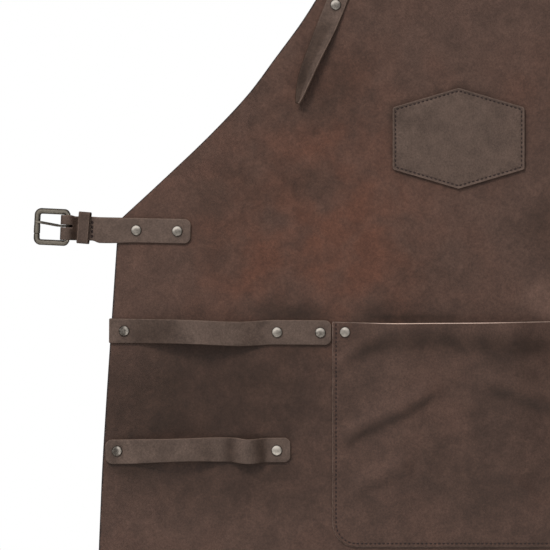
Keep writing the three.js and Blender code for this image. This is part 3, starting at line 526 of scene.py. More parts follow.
class ApronStage(bpy.types.PropertyGroup):
    """Floor, lights and camera."""

    floor: colour_setting("Floor", "Colour of the floor", display_colour(236, 236, 234))
    floor_drop: length_setting("Floor below", "How far the floor lies below the hem", 0.05)
    floor_radius: length_setting("Floor radius", "How far the floor reaches", 2.4)
    view_width: length_setting("View width", "Width that the camera sees at the apron", 0.55)
    view_distance: length_setting("View distance", "From the camera to the apron", 4.5)
    key_power: bpy.props.FloatProperty(
        name="Key light", description="Power of the large light above", default=38.0, min=0, unit="POWER"
    )
    fill: bpy.props.FloatProperty(
        name="Fill", description="Strength of the light from all round", default=0.42, min=0
    )


# Shape helpers


def smooth(value):
    """Eased step from 0 to 1."""
    t = np.clip(value, 0.0, 1.0)
    return t * t * (3.0 - 2.0 * t)


def peak(value, half):
    """Soft peak: 1 at zero, falling off over a half width."""
    return np.exp(-((value / half) ** 2))


def unit(vectors):
    """Vectors of length one."""
    vectors = np.asarray(vectors, float)
    return vectors / np.maximum(np.linalg.norm(vectors, axis=-1, keepdims=True), 1e-12)


def curve_through(table, at):
    """Values at some places, on a cubic curve through rows of (place, value, ...)."""
    table = np.asarray(table, float)
    place, value = table[:, 0], table[:, 1:]
    at = np.asarray(at, float)
    last = len(place) - 1
    before, after = np.maximum(np.arange(last + 1) - 1, 0), np.minimum(np.arange(last + 1) + 1, last)
    slope = (value[after] - value[before]) / (place[after] - place[before])[:, None]
    i = np.clip(np.searchsorted(place, at) - 1, 0, last - 1)
    run = (place[i + 1] - place[i])[:, None]
    t = (at - place[i])[:, None] / run
    ease = t * t * (3 - 2 * t)
    bend = t * (1 - t) * ((1 - t) * slope[i] - t * slope[i + 1]) * run
    return value[i] * (1 - ease) + value[i + 1] * ease + bend


def corner_inset(distance, radius):
    """How far a rounded corner pulls an edge in, at a distance from the end of the piece."""
    short = np.maximum(radius - distance, 0)
    return radius - np.sqrt(np.maximum(radius * radius - short * short, 0))


def corner_stops(radius):
    """Distances from an end at which a rounded corner is stepped."""
    return radius * (1 - np.cos(np.linspace(0, math.pi / 2, CORNER_STEPS + 1)))


def merged(*places, least=0.1):
    """Places from several lists, in order, without those closer together than the least."""
    kept = []
    for place in np.sort(np.concatenate([np.asarray(p, float) for p in places])):
        if not kept or place - kept[-1] >= least:
            kept.append(place)
    return np.array(kept)


def stops_along(length, step, near=RIM_STOPS):
    """Distances along a length, close together at both ends."""
    near = np.asarray(near)
    count = max(2, round((length - 2 * near[-1]) / step))
    inner = np.linspace(near[-1], length - near[-1], count + 1)[1:-1]
    return np.concatenate([near, inner, length - near[::-1]])


def spread_across(half, near, count):
    """Places across rows of different half widths, close together at both edges."""
    half = np.asarray(half, float)[:, None]
    near = np.asarray(near)[None, :]
    fractions = np.linspace(-1, 1, count + 1)[None, 1:-1]
    return np.concatenate([near - half, (half - near[:, -1:]) * fractions, (half - near)[:, ::-1]], axis=1)


def lengths_along(line):
    """Distance along a line at each of its points."""
    return np.concatenate([[0], np.cumsum(np.linalg.norm(np.diff(line, axis=0), axis=1))])


def rounded_line(corners, radii, run_steps, arc_steps=10):
    """Line through corner points, each inner corner rounded, with evenly divided straights and arcs."""
    corners = [np.asarray(c, float) for c in corners]
    ends, arcs = [corners[0]], []
    for before, corner, after, radius in zip(corners, corners[1:], corners[2:], radii):
        a, b = unit(before - corner), unit(after - corner)
        half_angle = math.acos(np.clip(a @ b, -1, 1)) / 2
        middle = corner + unit(a + b) * radius / math.sin(half_angle)
        reach = radius / math.tan(half_angle)
        start, stop = corner + a * reach - middle, corner + b * reach - middle
        sweep_angle = math.pi - 2 * half_angle
        t = np.linspace(0, 1, arc_steps + 1)[:, None]
        arc = (np.sin((1 - t) * sweep_angle) * start + np.sin(t * sweep_angle) * stop) / math.sin(sweep_angle)
        arcs.append(middle + arc)
        ends += [arcs[-1][0], arcs[-1][-1]]
    ends.append(corners[-1])
    share = np.linspace(0, 1, run_steps + 1)[:, None]
    line = []
    for k in range(len(arcs) + 1):
        straight = ends[2 * k] * (1 - share) + ends[2 * k + 1] * share
        line.append(straight if k == 0 else straight[1:])
        if k < len(arcs):
            line.append(arcs[k][1:])
    return np.concatenate(line)


def grid_normals(grid):
    """Unit normals of a grid of points, towards the front of the leather."""
    return unit(np.cross(np.gradient(grid, axis=0), np.gradient(grid, axis=1)))


def rim_share(inset, rim=RIM):
    """Share of the thickness left at a distance in from a rounded edge."""
    away = 1 - np.clip(inset / rim, 0, 1)
    return RIM_LEAST + (1 - RIM_LEAST) * np.sqrt(1 - away * away)


def clouds_at(table, x, drop):
    """Sum of soft clouds at some places."""
    total = np.zeros_like(x)
    for at, down, wide, tall, amount in table:
        total += amount * np.exp(-(((x - at) / wide) ** 2) - ((drop - down) / tall) ** 2)
    return np.clip(total, -1, 1)


# Meshes


def new_piece(name, points, faces, materials, kinds=None, fields=None):
    """Mesh object from points in millimetres, with a material for each face and values at the points."""
    mesh = bpy.data.meshes.new(name)
    mesh.from_pydata((np.asarray(points) * MM).tolist(), [], [list(map(int, face)) for face in faces])
    for material in materials:
        mesh.materials.append(material)
    if kinds is not None:
        mesh.polygons.foreach_set("material_index", np.asarray(kinds, np.int32))
    mesh.polygons.foreach_set("use_smooth", np.ones(len(mesh.polygons), bool))
    for field, values in (fields or {}).items():
        layer = mesh.attributes.new(field, "FLOAT", "POINT")
        layer.data.foreach_set("value", np.asarray(values, np.float32))
    mesh.update()
    piece = bpy.data.objects.new(name, mesh)
    bpy.context.scene.collection.objects.link(piece)
    return piece


def leather_sheet(name, mid, inset, thick, materials, front=None, fields=None, raw=RAW_EDGE):
    """Closed sheet round a grid of middle points, with rounded edges.

    inset is each point's distance in from the nearest edge, and front how far the front lies off the middle.
    """
    rows, columns = mid.shape[:2]
    normal = grid_normals(mid)
    back = thick / 2 * rim_share(inset)
    front = back if front is None else front
    points = np.concatenate(
        [(mid + normal * front[..., None]).reshape(-1, 3), (mid - normal * back[..., None]).reshape(-1, 3)]
    )
    index = np.arange(rows * columns).reshape(rows, columns)
    quads = np.stack([index[:-1, :-1], index[1:, :-1], index[1:, 1:], index[:-1, 1:]], -1).reshape(-1, 4)
    ring = np.concatenate([index[0, :-1], index[:-1, -1], index[-1, :0:-1], index[:0:-1, 0]])
    following = np.roll(ring, -1)
    walls = np.stack([ring, following, following + index.size, ring + index.size], -1)
    faces = np.concatenate([quads, quads[:, ::-1] + index.size, walls])
    cut = (np.broadcast_to(raw, inset.shape) > inset).reshape(-1)[quads].all(axis=1)
    kinds = np.concatenate(
        [
            np.where(cut, EDGE_SIDE, FRONT_SIDE),
            np.where(inset.reshape(-1)[quads].max(axis=1) < RAW_EDGE, EDGE_SIDE, BACK_SIDE),
            np.full(len(walls), EDGE_SIDE),
        ]
    )
    values = {"rim": inset, **(fields or {})}
    values = {key: np.tile(np.asarray(value).reshape(-1), 2) for key, value in values.items()}
    return new_piece(name, points, faces, materials, kinds, values)


def ring_quads(rows, count, turned=False):
    """Faces between rows of points on closed rings, facing the other way where turned."""
    index = np.arange(rows * count).reshape(rows, count)
    ahead = np.roll(index, -1, axis=1)
    corners = [index[:-1], index[1:], ahead[1:], ahead[:-1]]
    if turned:
        corners[1:] = corners[:0:-1]
    return np.stack(corners, -1).reshape(-1, 4).tolist()


def ring_body(rings, ends, turned=False):
    """Closed body through rings of points, whose first and last ring are each closed on an end point."""
    rows, count = rings.shape[:2]
    here = np.arange(count)
    ahead = np.roll(here, -1)
    if turned:
        here, ahead = ahead, here
    last_row = count * (rows - 1)
    first, last = np.full(count, rows * count), np.full(count, rows * count + 1)
    faces = ring_quads(rows, count, turned)
    faces += np.column_stack([first, here, ahead]).tolist()
    faces += np.column_stack([last, ahead + last_row, here + last_row]).tolist()
    return np.concatenate([rings.reshape(-1, 3), ends]), faces


def sweep(line, out, wide, tall, sides):
    """Closed tube along a line, wide across and tall towards out."""
    line = np.asarray(line, float)
    along = unit(np.gradient(line, axis=0))
    across = unit(np.cross(along, np.broadcast_to(out, line.shape)))
    out = np.cross(across, along)
    turn = np.linspace(0, 2 * math.pi, sides, endpoint=False)[None, :, None]
    wide = np.broadcast_to(wide, len(line))[:, None, None]
    tall = np.broadcast_to(tall, len(line))[:, None, None]
    ring = across[:, None] * wide * np.cos(turn) + out[:, None] * tall * np.sin(turn)
    return ring_body(line[:, None] + ring, line[[0, -1]])


def lathe(profile, segments):
    """Closed turned body about the Y axis, from (radius, y) points that start and end on the axis."""
    profile = np.asarray(profile, float)
    turn = np.linspace(0, 2 * math.pi, segments, endpoint=False)
    radius, y = profile[1:-1, :1], profile[1:-1, 1:]
    rings = np.stack([radius * np.cos(turn), y + np.zeros(segments), radius * np.sin(turn)], -1)
    return ring_body(rings, [(0, profile[0, 1], 0), (0, profile[-1, 1], 0)], turned=True)


def joined(shapes):
    """One list of points and one of faces from several shapes."""
    points, faces, count = [], [], 0
    for own_points, own_faces in shapes:
        points.append(own_points)
        faces += [[corner + count for corner in face] for face in own_faces]
        count += len(own_points)
    return np.concatenate(points), faces


def placed(matrix, points):
    """Points moved by a matrix."""
    matrix = np.array(matrix)
    return np.asarray(points) @ matrix[:3, :3].T + matrix[:3, 3]


def cut_out(piece, shapes):
    """Cuts shapes out of a leather piece, and gives the cut walls its edge material."""
    points, faces = joined(shapes)
    kinds = np.full(len(faces), EDGE_SIDE)
    tool = new_piece(piece.name + "_cut", points, faces, piece.data.materials, kinds)
    cut = piece.modifiers.new("cut", "BOOLEAN")
    cut.operation, cut.object, cut.solver = "DIFFERENCE", tool, "EXACT"
    bpy.context.view_layer.update()
    done = bpy.data.meshes.new_from_object(piece.evaluated_get(bpy.context.evaluated_depsgraph_get()))
    piece.modifiers.clear()
    piece.data = done
    bpy.data.objects.remove(tool)


def settle(piece, slot, *nodes, body=BODY):
    """Puts a piece on its body, in place of its solids, which it hides. The slot is not used."""
    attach(piece, body)
    if nodes:
        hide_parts(*nodes)


# Shader node helpers and groups


def set_inputs(tree, node, values):
    """Puts values or links on a node's inputs."""
    for socket, value in values.items():
        if isinstance(value, bpy.types.NodeSocket):
            tree.links.new(value, node.inputs[socket])
        else:
            node.inputs[socket].default_value = value


def add_node(tree, kind, values=None, **settings):
    """New node with its settings, and with values or links on its inputs."""
    node = tree.nodes.new(kind)
    for name, value in settings.items():
        setattr(node, name, value)
    set_inputs(tree, node, values or {})
    return node


def math_node(tree, operation, first, second=0.0, clamp=False):
    """Result of an operation on two values."""
    node = add_node(tree, "ShaderNodeMath", {0: first, 1: second}, operation=operation, use_clamp=clamp)
    return node.outputs[0]


def vector_node(tree, operation, first, second=(0.0, 0.0, 0.0)):
    """Results of an operation on one or two vectors."""
    return add_node(tree, "ShaderNodeVectorMath", {0: first, 1: second}, operation=operation).outputs


def mix_colours(tree, share, first, second, blend="MIX"):
    """Colour between two, by a share."""
    values = {0: share, 6: first, 7: second}
    return add_node(tree, "ShaderNodeMix", values, data_type="RGBA", blend_type=blend).outputs[2]


def noise(tree, vector, scale, detail=2.0, roughness=0.5, distortion=0.0):
    """Value of a noise texture."""
    values = {
        "Vector": vector,
        "Scale": scale,
        "Detail": detail,
        "Roughness": roughness,
        "Distortion": distortion,
    }
    return add_node(tree, "ShaderNodeTexNoise", values).outputs[0]


def map_value(tree, value, low, high, to_low=0.0, to_high=1.0):
    """Value carried smoothly from one range to another."""
    values = {0: value, 1: low, 2: high, 3: to_low, 4: to_high}
    return add_node(tree, "ShaderNodeMapRange", values, interpolation_type="SMOOTHSTEP").outputs[0]


def new_group(name, inputs, outputs):
    """Empty shader node group with its sockets; gives the group, its input node and its output node."""
    group = bpy.data.node_groups.new(name, "ShaderNodeTree")
    for in_out, sockets in (("INPUT", inputs), ("OUTPUT", outputs)):
        for socket, kind in sockets.items():
            group.interface.new_socket(name=socket, in_out=in_out, socket_type="NodeSocket" + kind)
    return group, group.nodes.new("NodeGroupInput").outputs, group.nodes.new("NodeGroupOutput").inputs


def place_group(tree, name, make, values):
    """A group by name, made the first time, placed in a material with its own values; gives its outputs."""
    group = bpy.data.node_groups.get(name) or make(name)
    return add_node(tree, "ShaderNodeGroup", values, node_tree=group).outputs


def make_grain(name):
    """Leather grain: small pebbles with pores and slow creases, as a height."""
    group, given, result = new_group(
        name, {"Vector": "Vector", "Size": "Float"}, {"Height": "Float", "Pores": "Float"}
    )
    scale = math_node(group, "DIVIDE", 1.0, given["Size"])
    slow = math_node(group, "MULTIPLY", scale, 0.12)
    fine = math_node(group, "MULTIPLY", scale, 2.6)
    warp = add_node(group, "ShaderNodeTexNoise", {"Vector": given["Vector"], "Scale": scale, "Detail": 1.0})
    shift = vector_node(group, "MULTIPLY", warp.outputs["Color"], (0.0009, 0.0009, 0.0009))[0]
    moved = vector_node(group, "ADD", given["Vector"], shift)[0]
    cells = add_node(
        group,
        "ShaderNodeTexVoronoi",
        {"Vector": moved, "Scale": scale, "Randomness": 0.9},
        feature="DISTANCE_TO_EDGE",
    )
    pebbles = map_value(group, cells.outputs["Distance"], 0.0, 0.22)
    specks = noise(group, given["Vector"], fine, 2.0)
    creases = noise(group, given["Vector"], slow, 4.0, 0.6, 0.8)
    height = math_node(group, "MULTIPLY", pebbles, 0.5)
    height = math_node(group, "ADD", height, math_node(group, "MULTIPLY", specks, 0.4))
    height = math_node(group, "ADD", height, math_node(group, "MULTIPLY", creases, 1.4))
    group.links.new(height, result["Height"])
    group.links.new(math_node(group, "SUBTRACT", 1.0, pebbles), result["Pores"])
    return group


def make_dye_and_shade(name):
    """Uneven dye with painted shade: a ground colour with clouds of two others and fine speckles, and an
    uneven wax; the darker clouds also carry the painted shade given at the points.
    """
    group, given, result = new_group(
        name,
        {
            "Vector": "Vector",
            "Ground": "Color",
            "Cloud": "Color",
            "Shade": "Color",
            "Red": "Float",
            "Dark": "Float",
        },
        {"Colour": "Color", "Wax": "Float"},
    )
    slow = noise(group, given["Vector"], 13.0, 3.0, 0.55, 0.4)
    patchy = noise(group, given["Vector"], 48.0, 4.0, 0.6, 0.6)
    mottle = noise(group, given["Vector"], 150.0, 3.0, 0.6)
    fine = noise(group, given["Vector"], 520.0, 2.0, 0.7)
    drift = noise(group, given["Vector"], 27.0, 3.0, 0.5, 0.3)
    red = math_node(group, "MULTIPLY", given["Red"], map_value(group, drift, 0.25, 0.75, 0.4, 1.6))
    red = math_node(group, "ADD", red, map_value(group, slow, 0.3, 0.7, -0.1, 0.1), clamp=True)
    dark = math_node(group, "ADD", given["Dark"], map_value(group, slow, 0.28, 0.72, 0.12, -0.2))
    dark = math_node(group, "ADD", dark, map_value(group, patchy, 0.25, 0.75, 0.1, -0.1), clamp=True)
    colour = mix_colours(group, red, given["Ground"], given["Cloud"])
    colour = mix_colours(group, dark, colour, given["Shade"])
    speckle = map_value(group, fine, 0.25, 0.75, 0.8, 1.2)
    speckle = math_node(group, "MULTIPLY", speckle, map_value(group, given["Dark"], -1.0, 0.0, 1.5, 1.0))
    speckle = math_node(group, "MULTIPLY", speckle, map_value(group, mottle, 0.25, 0.75, 0.92, 1.08))
    speckle = math_node(group, "MULTIPLY", speckle, map_value(group, patchy, 0.25, 0.75, 0.84, 1.16))
    tint = add_node(group, "ShaderNodeCombineColor", {0: speckle, 1: speckle, 2: speckle})
    colour = mix_colours(group, 1.0, colour, tint.outputs[0], "MULTIPLY")
    group.links.new(colour, result["Colour"])
    group.links.new(patchy, result["Wax"])
    return group


def make_rub(name):
    """Rubbing along the cut edges: a mask that fades with the distance in from the edge."""
    group, given, result = new_group(
        name, {"Vector": "Vector", "Rim": "Float", "Width": "Float"}, {"Mask": "Float"}
    )
    near = math_node(group, "DIVIDE", given["Rim"], given["Width"])
    ragged = map_value(group, noise(group, given["Vector"], 260.0, 3.0, 0.7), 0.3, 0.7, -0.35, 0.35)
    near = math_node(group, "ADD", near, ragged)
    group.links.new(map_value(group, near, 0.2, 1.0, 1.0, 0.0), result["Mask"])
    return group


def make_tarnish(name):
    """Antique metal: dark finish worn through to bright metal on the raised places, with painted highlights
    and shade given at the points.
    """
    group, given, result = new_group(
        name,
        {"Vector": "Vector", "Metal": "Color", "Tarnish": "Color", "Worn_and_lit": "Float"},
        {"Colour": "Color", "Roughness": "Float", "Height": "Float"},
    )
    blotch = noise(group, given["Vector"], 330.0, 4.0, 0.65)
    scratch = noise(group, given["Vector"], 1900.0, 3.0, 0.7)
    worn = math_node(group, "ADD", given["Worn_and_lit"], map_value(group, blotch, 0.25, 0.75, -0.16, 0.16))
    worn = math_node(group, "ADD", worn, map_value(group, scratch, 0.3, 0.7, -0.07, 0.07), clamp=True)
    colour = mix_colours(group, worn, given["Tarnish"], given["Metal"])
    group.links.new(colour, result["Colour"])
    group.links.new(map_value(group, worn, 0.0, 1.0, 0.5, 0.34), result["Roughness"])
    group.links.new(math_node(group, "ADD", blotch, scratch), result["Height"])
    return group


def field(tree, name):
    """Value kept at the points of a mesh."""
    return add_node(tree, "ShaderNodeAttribute", attribute_name=name).outputs["Fac"]


def bump(tree, height, distance, strength=1.0):
    """Normal from a height."""
    values = {"Height": height, "Distance": distance, "Strength": strength}
    return add_node(tree, "ShaderNodeBump", values).outputs[0]


def rgba(colour):
    """Colour with full alpha."""
    return (*colour, 1.0)


def finished(name, finish, *values):
    """A material by name, made the first time it is asked for, with what its finish puts on the shader."""
    material = bpy.data.materials.get(name)
    if not material:
        material = bpy.data.materials.new(name)
        material.use_nodes = True
        tree = material.node_tree
        place = add_node(tree, "ShaderNodeTexCoord").outputs["Object"]
        set_inputs(tree, tree.nodes["Principled BSDF"], finish(tree, place, *values))
    return material


def grain_leather(tree, place, ground, cloud, shade, rim, rim_width, settings):
    """Front of the leather: uneven dye with painted shade, fine grain and rubbed edges."""
    colours = {"Ground": ground, "Cloud": cloud, "Shade": shade}
    spots = {"Red": field(tree, "red"), "Dark": field(tree, "dark")}
    dye_and_shade = place_group(tree, "dye_and_painted_shade", make_dye_and_shade, {"Vector": place, **colours, **spots})
    edge = {"Vector": place, "Rim": field(tree, "rim"), "Width": rim_width}
    rub = place_group(tree, "edge_rub", make_rub, edge)
    grain = place_group(tree, "leather_grain", make_grain, {"Vector": place, "Size": settings.grain})
    rubbed = mix_colours(tree, math_node(tree, "MULTIPLY", rub["Mask"], 0.75), dye_and_shade["Colour"], rim)
    return {
        "Base Color": mix_colours(tree, math_node(tree, "MULTIPLY", grain["Pores"], 0.22), rubbed, shade),
        "Roughness": map_value(tree, dye_and_shade["Wax"], 0.2, 0.8, 0.5, 0.66),
        "Specular IOR Level": 0.25,
        "Normal": bump(tree, grain["Height"], settings.relief),
    }


def suede_leather(tree, place, colour, shade):
    """Back of the leather: a short uneven nap."""
    dyes = {"Ground": colour, "Cloud": colour, "Shade": shade, "Red": 0.3, "Dark": 0.2}
    return {
        "Base Color": place_group(tree, "dye_and_painted_shade", make_dye_and_shade, {"Vector": place, **dyes})["Colour"],
        "Roughness": 0.95,
        "Specular IOR Level": 0.15,
        "Sheen Weight": 0.12,
        "Normal": bump(tree, noise(tree, place, 1400.0, 4.0, 0.8), 0.0005, 0.8),
    }


def cut_edge(tree, place, colour, dark, pale):
    """Cut edge of the leather: fibres in layers, dyed except where the piece is marked pale, which on the
    pocket is its raw edge with painted light.
    """
    fibres = noise(tree, place, 900.0, 4.0, 0.75)
    worn = map_value(tree, noise(tree, place, 140.0, 3.0, 0.6), 0.3, 0.7)
    share = math_node(tree, "MULTIPLY", map_value(tree, fibres, 0.25, 0.75), worn)
    dyed = mix_colours(tree, share, colour, dark)
    dyed = mix_colours(tree, field(tree, "dark"), dyed, dark)
    soiled = math_node(tree, "MULTIPLY", share, 0.3)
    raw = math_node(tree, "SUBTRACT", field(tree, "pale"), soiled, clamp=True)
    return {
        "Base Color": mix_colours(tree, raw, dyed, pale),
        "Roughness": 0.9,
        "Specular IOR Level": 0.08,
        "Normal": bump(tree, fibres, 0.0002),
    }


def waxed_thread(tree, place, colour):
    """Dark twisted thread."""
    fibres = noise(tree, place, 2600.0, 3.0, 0.7)
    dark = [0.5 * share for share in colour]
    return {
        "Base Color": mix_colours(tree, map_value(tree, fibres, 0.3, 0.7), rgba(dark), rgba(colour)),
        "Roughness": 0.6,
        "Normal": bump(tree, fibres, 0.0001),
    }


def antique_metal(tree, place, metal, tarnish):
    """Antique metal finish of the buckle or the rivets, with their painted highlights and shade."""
    colours = {"Metal": rgba(metal), "Tarnish": rgba(tarnish)}
    values = {"Vector": place, **colours, "Worn_and_lit": field(tree, "worn_and_lit")}
    worn = place_group(tree, "antique_finish", make_tarnish, values)
    return {
        "Base Color": worn["Colour"],
        "Roughness": worn["Roughness"],
        "Metallic": 1.0,
        "Normal": bump(tree, worn["Height"], 0.00006),
    }


def pale_floor(tree, place, stage):
    """Pale floor, slightly uneven, that fades out towards its rim."""
    worn = [FLOOR_WORN * share for share in stage.floor]
    uneven = map_value(tree, noise(tree, place, 5.0, 4.0, 0.6), 0.3, 0.7)
    away = vector_node(tree, "LENGTH", place)["Value"]
    near, far = FLOOR_FADE_FROM * stage.floor_radius, FLOOR_FADE_TO * stage.floor_radius
    return {
        "Base Color": mix_colours(tree, uneven, rgba(stage.floor), rgba(worn)),
        "Roughness": 0.9,
        "Alpha": map_value(tree, away, near, far, 1.0, 0.0),
    }


def leather_finish(scene, kind):
    """Front, back and edge materials of one kind of leather."""
    settings = scene.apron_leather
    front, rim_width, edge = LEATHERS[kind]
    front = [rgba(getattr(settings, name)) for name in front]
    edge = [rgba(getattr(settings, name)) for name in (*edge, "raw_edge")]
    back = "strap" if kind == "strap" else "panel"
    shade = settings.strap_dark if kind == "strap" else settings.panel
    return [
        finished(kind + "_grain", grain_leather, *front, rim_width, settings),
        finished(back + "_suede", suede_leather, rgba(settings.suede), rgba(shade)),
        finished(kind + "_edge", cut_edge, *edge),
    ]


# Panel shape


def panel_half(drop):
    """Half width of the panel at some drops."""
    shoulder = SIDE[0][0]
    return np.where(drop < shoulder, curve_through(ARMHOLE, drop)[:, 0], curve_through(SIDE, drop)[:, 0])


def panel_depth(x, drop):
    """How far the panel's middle layer lies behind the plane of the bib."""
    x, drop = np.asarray(x, float), np.asarray(drop, float)
    past = np.clip(np.abs(x), TURN_START, TURN_END) - TURN_START
    bend = math.tan(SIDE_TURN) * past**2 / (2 * (TURN_END - TURN_START))
    straight = math.tan(SIDE_TURN) * np.maximum(np.abs(x) - TURN_END, 0)
    bow = BIB_BOW * smooth((BIB_BOW_END - drop) / (BIB_BOW_END - BIB_TOP))
    across = np.maximum(1 - (x / BIB_BOW_HALF) ** 2, 0) ** 2
    flutes = np.zeros_like(x)
    for at, width, depth in FLUTES:
        near = np.minimum(np.abs(x - at) / (width / 2), 1)
        flutes = flutes + depth * (1 + np.cos(math.pi * near)) / 2
    return bend + straight + bow * across + flutes * smooth((drop - FLUTE_START) / (HEM - FLUTE_START))


def panel_front(x, drop):
    """Depth of the panel's front face."""
    return panel_depth(x, drop) - PANEL_THICK / 2


def seat_matrix(x, drop):
    """Place on the panel's front at which a piece is fastened, with local +Y running into the leather."""
    probe = 2.0
    rise = float(panel_depth(x + probe, drop) - panel_depth(x - probe, drop))
    turn = math.atan2(rise, 2 * probe)
    return Matrix.Translation((x, float(panel_front(x, drop)), -drop)) @ Matrix.Rotation(turn, 4, "Z")


def patch_distance(x, drop):
    """Distance out from the patch's sides of places on the panel, below zero under the patch."""
    slanted = np.abs(drop - PATCH_DROP) + PATCH_LEAN * np.abs(x) - PATCH_HALF_HEIGHT
    return np.maximum(np.abs(x) - PATCH_HALF_WIDTH, slanted / math.hypot(1, PATCH_LEAN))


def panel_grid():
    """Middle points of the panel and their distances in from its edge."""
    near = np.array(RIM_STOPS)
    drops = merged(
        BIB_TOP + near,
        BIB_TOP + corner_stops(BIB_CORNER),
        np.arange(BIB_TOP + BIB_CORNER, HEM - HEM_CORNER, PANEL_STEP),
        HEM - corner_stops(HEM_CORNER),
        HEM - near,
    )
    corners = corner_inset(drops - BIB_TOP, BIB_CORNER) + corner_inset(HEM - drops, HEM_CORNER)
    half = panel_half(drops) - corners
    x = spread_across(half, near, PANEL_COLUMNS)
    drop = drops[:, None] + np.zeros_like(x)
    inset = np.minimum.reduce([half[:, None] - np.abs(x), drop - BIB_TOP, HEM - drop])
    return np.stack([x, panel_depth(x, drop), -drop], -1), inset


def make_panel(scene):
    """The one-piece panel of bib and skirt."""
    mid, inset = panel_grid()
    x, drop = mid[..., 0], -mid[..., 2]
    # The dark field holds darker tone with painted shade and shadow, and painted shade in a ring round the
    # patch
    patch_shade = PATCH_SHADE_RING * peak(np.maximum(patch_distance(x, drop), 0), PATCH_SHADE_RING_WIDTH)
    fields = {"red": clouds_at(RED_CLOUDS, x, drop), "dark": clouds_at(DARK_TONE_AND_SHADOW_CLOUDS, x, drop) + patch_shade}
    finish = leather_finish(scene, "panel")
    piece = leather_sheet("panel_leather_sheet", mid, inset, PANEL_THICK, finish, fields=fields)
    settle(piece, "panel_leather", "apron_panel")


# Patch


def patch_corners(inset):
    """Corners of the hexagon moved in by a distance."""
    half_width = PATCH_HALF_WIDTH - inset
    half_height = PATCH_HALF_HEIGHT - inset * math.hypot(1, PATCH_LEAN)
    half_side = half_height - half_width * PATCH_LEAN
    lower = np.array([(-half_width, -half_side), (0, -half_height), (half_width, -half_side)])
    return np.concatenate([lower, -lower])


def patch_ring(inset):
    """Rounded outline of the hexagon moved in by a distance, from the middle of its left side."""
    corners = patch_corners(inset)
    left = (corners[0] + corners[-1]) / 2
    radius = max(PATCH_CORNER - inset, PATCH_LEAST_CORNER)
    return rounded_line([left, *corners, left], [radius] * len(corners), run_steps=14, arc_steps=6)[:-1]


def make_patch(scene):
    """The bare hexagonal patch, pressed down along its seam."""
    rings = [patch_ring(inset) for inset in PATCH_RINGS]
    inner_share = np.arange(1, PATCH_INNER_RINGS) / PATCH_INNER_RINGS
    outline = np.stack(rings + [rings[-1] * (1 - share) for share in inner_share])
    deepest = PATCH_RINGS[-1]
    inset = np.concatenate([PATCH_RINGS, deepest + inner_share * (PATCH_HALF_HEIGHT - deepest)])
    seat = float(panel_front(0, PATCH_DROP)) - GAP
    share = rim_share(inset)
    pressed = SEAM_DEPTH * peak(inset - PATCH_SEAM_IN, SEAM_HALF)
    curl = PATCH_CURL * smooth(1 - inset / PATCH_SEAM_IN)
    pillow = PATCH_PILLOW * smooth((inset - PATCH_SEAM_IN) / PATCH_PILLOW_RUN)
    front = seat - (PATCH_THICK * (1 + share) / 2 - pressed + curl + pillow)
    back = seat - (PATCH_THICK * (1 - share) / 2 + curl)

    # One body from the middle of the back, round the edge, to the middle of the front
    outline = np.concatenate([outline[::-1], outline])
    y = np.concatenate([back[::-1], front])[:, None] + np.zeros(outline.shape[:2])
    layers = np.stack([outline[..., 0], y, outline[..., 1] - PATCH_DROP], -1)
    ends = [(0, back[-1], -PATCH_DROP), (0, front[-1], -PATCH_DROP)]
    points, faces = ring_body(layers, ends, turned=True)
    front_kinds = np.where(np.maximum(inset[:-1], inset[1:]) < RAW_EDGE, EDGE_SIDE, FRONT_SIDE)
    row_kinds = [BACK_SIDE] * len(front_kinds) + [EDGE_SIDE, *front_kinds, BACK_SIDE, FRONT_SIDE]
    kinds = np.repeat(row_kinds, outline.shape[1])
    rim = np.repeat(np.concatenate([inset[::-1], inset]), outline.shape[1])
    fields = {"rim": np.append(rim, [PATCH_HALF_HEIGHT] * len(ends))}
    finish = leather_finish(scene, "patch")
    piece = new_piece("patch_leather_sheet", points, faces, finish, kinds, fields)
    settle(piece, "patch_leather", "hex_patch")


# Pocket


def pocket_folds(x, drop):
    """Height of the pocket's folds, and their painted shade: darker in the hollow below a crest, with a
    painted highlight above it.
    """
    height, dye_and_shade = np.zeros_like(x), np.zeros_like(x)
    for fold in POCKET_FOLDS:
        crest = np.array(fold["crest"], float)
        at = np.clip(x, crest[0, 0], crest[-1, 0])
        below = drop - curve_through(crest, at.reshape(-1))[:, 0].reshape(x.shape)
        fade = smooth((x - crest[0, 0]) / CREST_FADE) * smooth((crest[-1, 0] - x) / CREST_FADE)
        height += fold["height"] * fade * peak(below, np.where(below < 0, fold["above"], fold["below"]))
        hollow = peak(below - CREST_HOLLOW * fold["below"], fold["below"])
        dye_and_shade += fold["dye_and_shade"] * fade * (hollow - CREST_HIGHLIGHT * peak(below + CREST_HIGHLIGHT_AT, CREST_HIGHLIGHT_HALF))
    return height, dye_and_shade


def pocket_bulge(x, drop, folds):
    """How far the pocket stands off the panel, with the height of its folds."""
    from_side = POCKET_HALF - np.abs(x)
    from_bottom = POCKET_BOTTOM - drop
    opened = smooth((from_side - POCKET_BORDER) / POCKET_RISE)
    opened = opened * smooth((from_bottom - POCKET_BORDER) / POCKET_RISE)
    upper = smooth(1 - (drop - POCKET_TOP) / (POCKET_HEIGHT / 2))
    inside = smooth((from_side - CREST_IN) / POCKET_BORDER) * smooth(from_bottom / POCKET_RISE)
    taper = POCKET_LOW_SHARE + (1 - POCKET_LOW_SHARE) * upper
    return POCKET_BULGE * opened * taper + folds * inside


def pocket_inset(x, drop):
    """Distance in from the pocket's sewn edges, its sides and bottom with their round corners."""
    straight = np.minimum(POCKET_HALF - np.abs(x), POCKET_BOTTOM - drop)
    past_x = np.abs(x) - (POCKET_HALF - POCKET_CORNER)
    past_drop = drop - (POCKET_BOTTOM - POCKET_CORNER)
    round_corner = POCKET_CORNER - np.hypot(past_x, past_drop)
    return np.where((past_x > 0) & (past_drop > 0), round_corner, straight)


